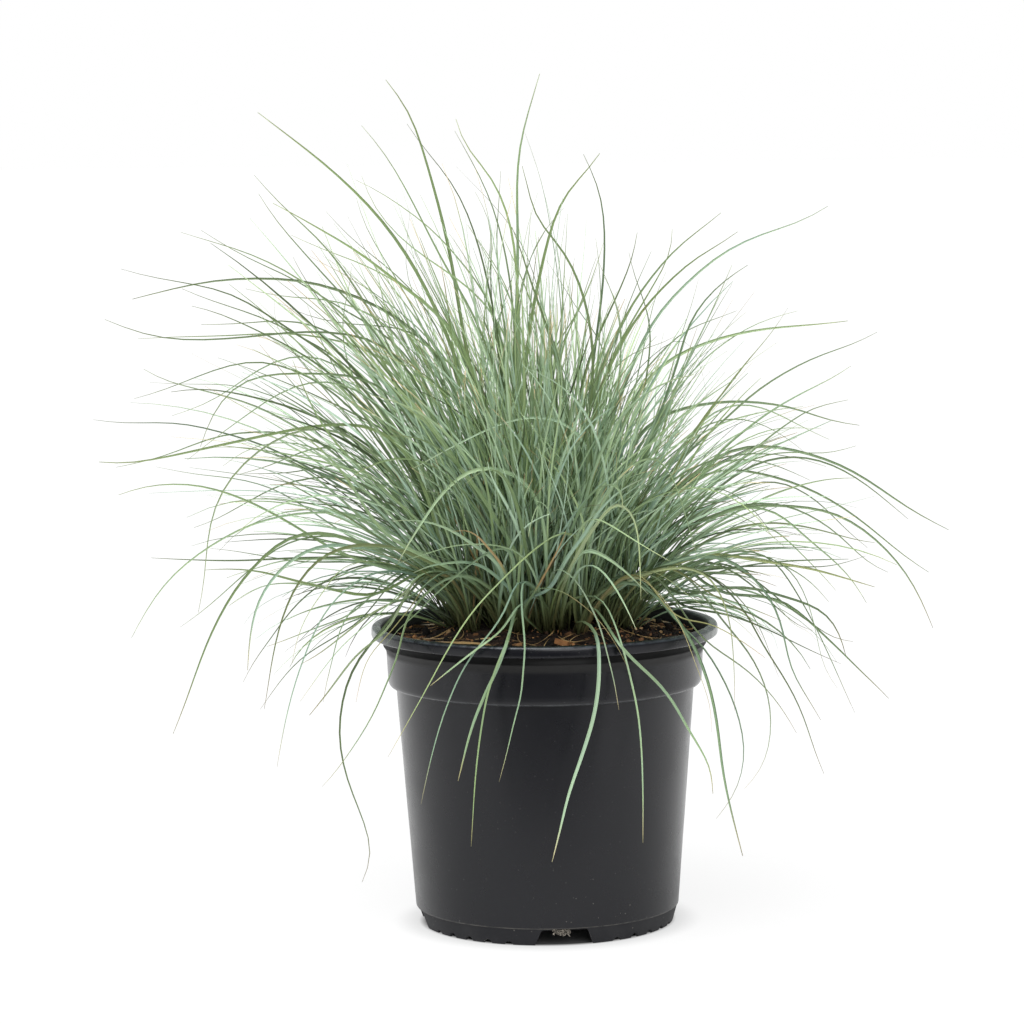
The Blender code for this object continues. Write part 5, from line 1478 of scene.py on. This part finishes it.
def grown_leaves(count, seed, rings, spread, width, least_rise=-35.0):
    """Leaves that grow from the shoots out to the dome, as dicts ready to be laid."""
    rng = np.random.default_rng(seed)
    t = np.linspace(0.0, 1.0, rings)
    leaves = []
    while len(leaves) < count:
        x, y, lean_to, share = SHOOTS[rng.integers(0, len(SHOOTS))]
        foot = np.array([x, y, soil_top(x, y) - FOOT_DEPTH])
        foot[:2] += rng.normal(0.0, 1.1 * MM, 2)
        bearing = lean_to + rng.normal(0.0, 0.30 + 0.9 * (1.0 - share))
        rise = 88.0 - 98.0 * share ** 0.9 * rng.uniform(0.35, 1.15) + rng.normal(0.0, 8.0)
        if -math.sin(bearing) > 0.45 and rise < 36.0:
            rise = rng.uniform(34.0, 62.0)
        rise = max(rise, least_rise)
        longer = 1.16 if rng.uniform() < 0.16 else 1.0
        reach = dome_reach(rise, bearing) * rng.uniform(*spread) * longer
        way = np.array([math.cos(bearing), math.sin(bearing), 0.0])
        flat, high = math.cos(math.radians(rise)), math.sin(math.radians(rise))
        tip = np.array([0.0, 0.0, 0.196]) + reach * (flat * way + np.array([0.0, 0.0, high]))
        span = tip - foot
        heading = np.array([span[0], span[1], 0.0])
        heading = heading / max(np.linalg.norm(heading), 1e-6)
        route = arching_route(foot, tip, heading, rng, t)
        if not clears_pot(route, max(2, rings // 6)) or not inside_box(route):
            continue
        if not shows_enough(route, rise, bearing, rng):
            continue
        height = (tip[2] - 0.2) / 0.25
        green = np.clip(0.20 + 0.36 * height + rng.normal(0.0, 0.24), 0.0, 1.0)
        # painted light: leaves whose tips stand higher are brighter and vary less; the rest of the spread is
        # the leaf's own tone
        varied = 0.34 - 0.12 * max(height, 0.0)
        bright = np.clip(0.50 + 0.14 * height + rng.normal(0.0, varied), 0.10, 1.0)
        leaves.append({
            "route": route, "width": rng.uniform(*width) * MM,
            "facing": np.array([heading[1], -heading[0], 0.0]),
            "twist": math.radians(rng.uniform(-80.0, 80.0)) + t * math.radians(rng.normal(0.0, 60.0)),
            "tints": tint_along(rings, green, 0.0, bright, dry_tip=0.8 * float(rng.uniform() < 0.3))})
    return leaves


def reaching_leaves(count, seed, middle, rings):
    """The longest leaves, which reach as far to the front and back as the traced ones do to the sides."""
    rng = np.random.default_rng(seed)
    t = np.linspace(0.0, 1.0, rings)
    leaves = []
    while len(leaves) < count:
        bearing = math.radians(middle + rng.uniform(-62.0, 62.0))
        rise = rng.uniform(2.0, 62.0)
        reach = rng.uniform(0.245, 0.300)
        if len(leaves) < 5:
            bearing = math.radians(middle + rng.uniform(-14.0, 14.0))
            rise = rng.uniform(4.0, 24.0)
            reach = 0.266 / (math.cos(math.radians(rise)) * abs(math.sin(bearing)))
        way = np.array([math.cos(bearing), math.sin(bearing), 0.0])
        side = np.array([-way[1], way[0], 0.0])
        flat, high = math.cos(math.radians(rise)), math.sin(math.radians(rise))
        tip = np.array([0.0, 0.0, 0.2]) + reach * (flat * way + np.array([0.0, 0.0, high]))
        x, y = way[:2] * rng.uniform(0.015, 0.05)
        foot = np.array([x, y, soil_top(x, y) - FOOT_DEPTH])
        route = arching_route(foot, tip, way, rng, t, 0.42)
        if not clears_pot(route, 2) or not inside_box(route):
            continue
        leaves.append({
            "route": route, "width": rng.uniform(1.6, 2.8) * MM, "facing": -side,
            "twist": math.radians(rng.normal(0.0, 20.0)) + t * math.radians(rng.normal(0.0, 50.0)),
            "tints": tint_along(rings, rng.uniform(0.3, 0.8), 0.0, rng.uniform(0.3, 0.7), dry_tip=0.2)})
    return leaves


inner_leaves = grown_leaves(1270, 31, PLAIN_LEAF["rings"], spread=(0.60, 1.05), width=(1.05, 2.25))
lay_leaves("inner_leaves", PLAIN_LEAF, inner_leaves, LEAF)
short_leaves = grown_leaves(290, 32, PLAIN_LEAF["rings"], (0.30, 0.65), (1.0, 2.0), least_rise=45.0)
lay_leaves("short_leaves", PLAIN_LEAF, short_leaves, LEAF)
long_leaves = []
for number, bearing in enumerate((90.0, -90.0)):
    long_leaves += reaching_leaves(24, 40 + number, bearing, PLAIN_LEAF["rings"])
lay_leaves("long_leaves", PLAIN_LEAF, long_leaves, LEAF)
print("grown leaves:", len(inner_leaves) + len(short_leaves) + len(long_leaves))

# %% [markdown]
# ## Dry leaves
# Old leaves dry to straw and orange-brown at the foot of the clump, and some lie curled on the soil.

# %% Add the dry leaves of the clump
dry_leaves = grown_leaves(46, 33, PLAIN_LEAF["rings"], spread=(0.14, 0.46), width=(1.0, 1.9))
rng = np.random.default_rng(5)
for leaf in dry_leaves:
    leaf["tints"][:, 1] = rng.uniform(0.75, 1.0)
    leaf["tints"][:, 2] *= rng.uniform(0.8, 1.2)
lay_leaves("dry_leaves", PLAIN_LEAF, dry_leaves, LEAF)

# %% [markdown]
# The leaves that lie on the soil are laid along short bowed routes that follow the soil's surface.

# %% Lay the fallen leaves and the straw
# place, bearing in degrees, length and bow
FALLEN = [
    (-50, -66, -37, 54, 6), (4, -84, 10, 38, -5), (58, -64, 42, 48, -4), (70, 52, 127, 54, -5),
    (-74, 48, 57, 50, -4),
]
FALLEN_WIDTH = 4.2


def lying_leaf(x, y, bearing, length, bow, width, rng, rings, lift=1.0):
    """A leaf that lies on the soil, bowed to one side, with its ends curled up a little."""
    angle = math.radians(bearing)
    way = np.array([math.cos(angle), math.sin(angle)])
    side = np.array([-way[1], way[0]])
    t = np.linspace(-0.5, 0.5, rings)
    flat = np.array([x, y]) + t[:, None] * length * way + (0.25 - t ** 2)[:, None] * 4.0 * bow * side
    route = np.zeros((rings, 3))
    route[:, :2] = flat * MM
    reach = np.hypot(route[:, 0], route[:, 1])
    route[:, :2] *= np.minimum(1.0, 0.100 / np.maximum(reach, 1e-6))[:, None]
    route[:, 2] = [soil_top(px, py) for px, py in route[:, :2]]
    route[:, 2] = np.convolve(np.pad(route[:, 2], 3, mode="edge"), np.ones(7) / 7, mode="valid")
    route[:, 2] += (1.6 + lift * 22.0 * np.abs(t) ** 3 * rng.uniform(0.2, 1.0)) * MM
    tints = tint_along(rings, 0.4, rng.uniform(0.85, 1.0), rng.uniform(0.15, 0.60))
    return {"route": route, "width": width * MM, "facing": np.array([side[0], side[1], 0.0]),
            "twist": np.full(rings, rng.uniform(-0.6, 0.6)) + t * rng.uniform(-3.0, 3.0), "tints": tints}


rng = random.Random(3)
rings = PLAIN_LEAF["rings"]
fallen = []
for x, y, turn, length, bow in FALLEN:
    fallen.append(lying_leaf(x, y, turn, length, bow, FALLEN_WIDTH, rng, rings))
lay_leaves("fallen_leaves", PLAIN_LEAF, fallen, LEAF,
           replaces=[f"fallen_leaf_{k}" for k in range(1, 6)])
straw = []
for number in range(64):
    angle = rng.uniform(0.0, 2 * math.pi)
    reach = 96.0 * math.sqrt(rng.uniform(0.25, 1.0))
    straw.append(lying_leaf(reach * math.cos(angle), reach * math.sin(angle), rng.uniform(0.0, 360.0),
                            rng.uniform(12.0, 52.0), rng.uniform(-7.0, 7.0), rng.uniform(0.5, 1.4),
                            rng, rings, 0.6))
lay_leaves("straw", PLAIN_LEAF, straw, LEAF)

# %% [markdown]
# ## Bark chips and roots
# Larger chips of bark lie on the mix, and a small tuft of roots has found its way out of the front notch.

# %% Lay the bark chips
# place and length in millimetres
CHIPS = [(-84, -24, 9), (12, -72, 12), (34, -70, 10), (-18, -72, 8), (52, 60, 11), (-44, 74, 10)]
BARK_COLOURS = [(0.30, 0.16, 0.07), (0.20, 0.09, 0.035), (0.26, 0.12, 0.045), (0.16, 0.08, 0.04)]
BARK = tinted_material("bark_chip", 0.85, 380.0, 0.0008)


def bark_chip(number, x, y, length, rng):
    """A splinter of bark: a block that is cut across its corners, bevelled and roughened."""
    bpy.ops.object.select_all(action="DESELECT")
    bpy.ops.mesh.primitive_cube_add(size=1.0, location=(0.0, 0.0, 0.0))
    chip = bpy.context.object
    chip.dimensions = (length * MM, length * 0.62 * MM, length * 0.30 * MM)
    bpy.ops.object.transform_apply(location=False, rotation=False, scale=True)
    bpy.ops.object.mode_set(mode="EDIT")
    bpy.ops.mesh.select_all(action="SELECT")
    bpy.ops.mesh.bisect(plane_co=(length * 0.33 * MM, 0.0, 0.0), plane_no=(1.0, 0.6, 0.2), use_fill=True,
                        clear_outer=True)
    bpy.ops.mesh.select_all(action="SELECT")
    bpy.ops.mesh.subdivide(number_cuts=3)
    bpy.ops.transform.vertex_random(offset=0.35 * MM, uniform=0.3, seed=number)
    bpy.ops.object.mode_set(mode="OBJECT")
    apply_modifier(chip, "BEVEL", "worn", width=0.4 * MM, segments=2, limit_method="ANGLE")
    chip.rotation_euler = (rng.uniform(-0.3, 0.3), rng.uniform(-0.3, 0.3), rng.uniform(0.0, 6.2))
    chip.location = (x * MM, y * MM, soil_top(x * MM, y * MM) + length * 0.10 * MM)
    layer = chip.data.color_attributes.new("tint", "FLOAT_COLOR", "POINT")
    colour = (*BARK_COLOURS[number % 4], 1.0)
    layer.data.foreach_set("color", np.tile(colour, len(chip.data.vertices)).astype(np.float32))
    bpy.ops.object.shade_smooth_by_angle(angle=math.radians(40))
    return chip


rng = random.Random(6)
for number, (x, y, length) in enumerate(CHIPS, 1):
    chip = bark_chip(number, x, y, length, rng)
    settle(chip, f"chip_of_bark_{number}", BARK, replaces=[f"bark_chip_{number}"])

# %% Let the roots out of the front notch
ROOT = tinted_material("root_fibre", 0.85, 500.0, 0.0004)
low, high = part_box("roots")
middle = np.array([(a + b) / 2 for a, b in zip(low, high)])
rng = random.Random(9)
roots = []
for number in range(90):
    start = middle + np.array([rng.uniform(-6.0, 2.5), rng.uniform(-1.4, 1.0), rng.uniform(-0.8, 2.2)]) * MM
    knots = [start]
    for step in range(3):
        stride = np.array([rng.uniform(-1.7, 1.7), rng.uniform(-0.9, 0.4), rng.uniform(-1.3, 1.2)])
        knots.append(knots[-1] + stride * MM)
    route = through(knots, rings)
    route[:, 2] = route[:, 2].clip(3.0 * MM, 10.6 * MM)
    tone = rng.uniform(0.12, 0.62)
    tints = np.tile((tone, tone * 0.92, tone * 0.80, 1.0), (rings, 1))
    roots.append({"route": route, "width": rng.uniform(0.4, 1.0) * MM, "facing": np.array([0.0, 0.0, 1.0]),
                  "twist": np.zeros(rings), "tints": tints})
lay_leaves("root_tuft", PLAIN_LEAF, roots, ROOT, replaces=["roots"])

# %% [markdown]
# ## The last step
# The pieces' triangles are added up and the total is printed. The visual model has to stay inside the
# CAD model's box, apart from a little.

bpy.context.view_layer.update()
total = 0
for name in PIECES:
    bpy.data.objects[name].data.calc_loop_triangles()
    total += len(bpy.data.objects[name].data.loop_triangles)
print("pieces:", len(PIECES), "triangles:", total)
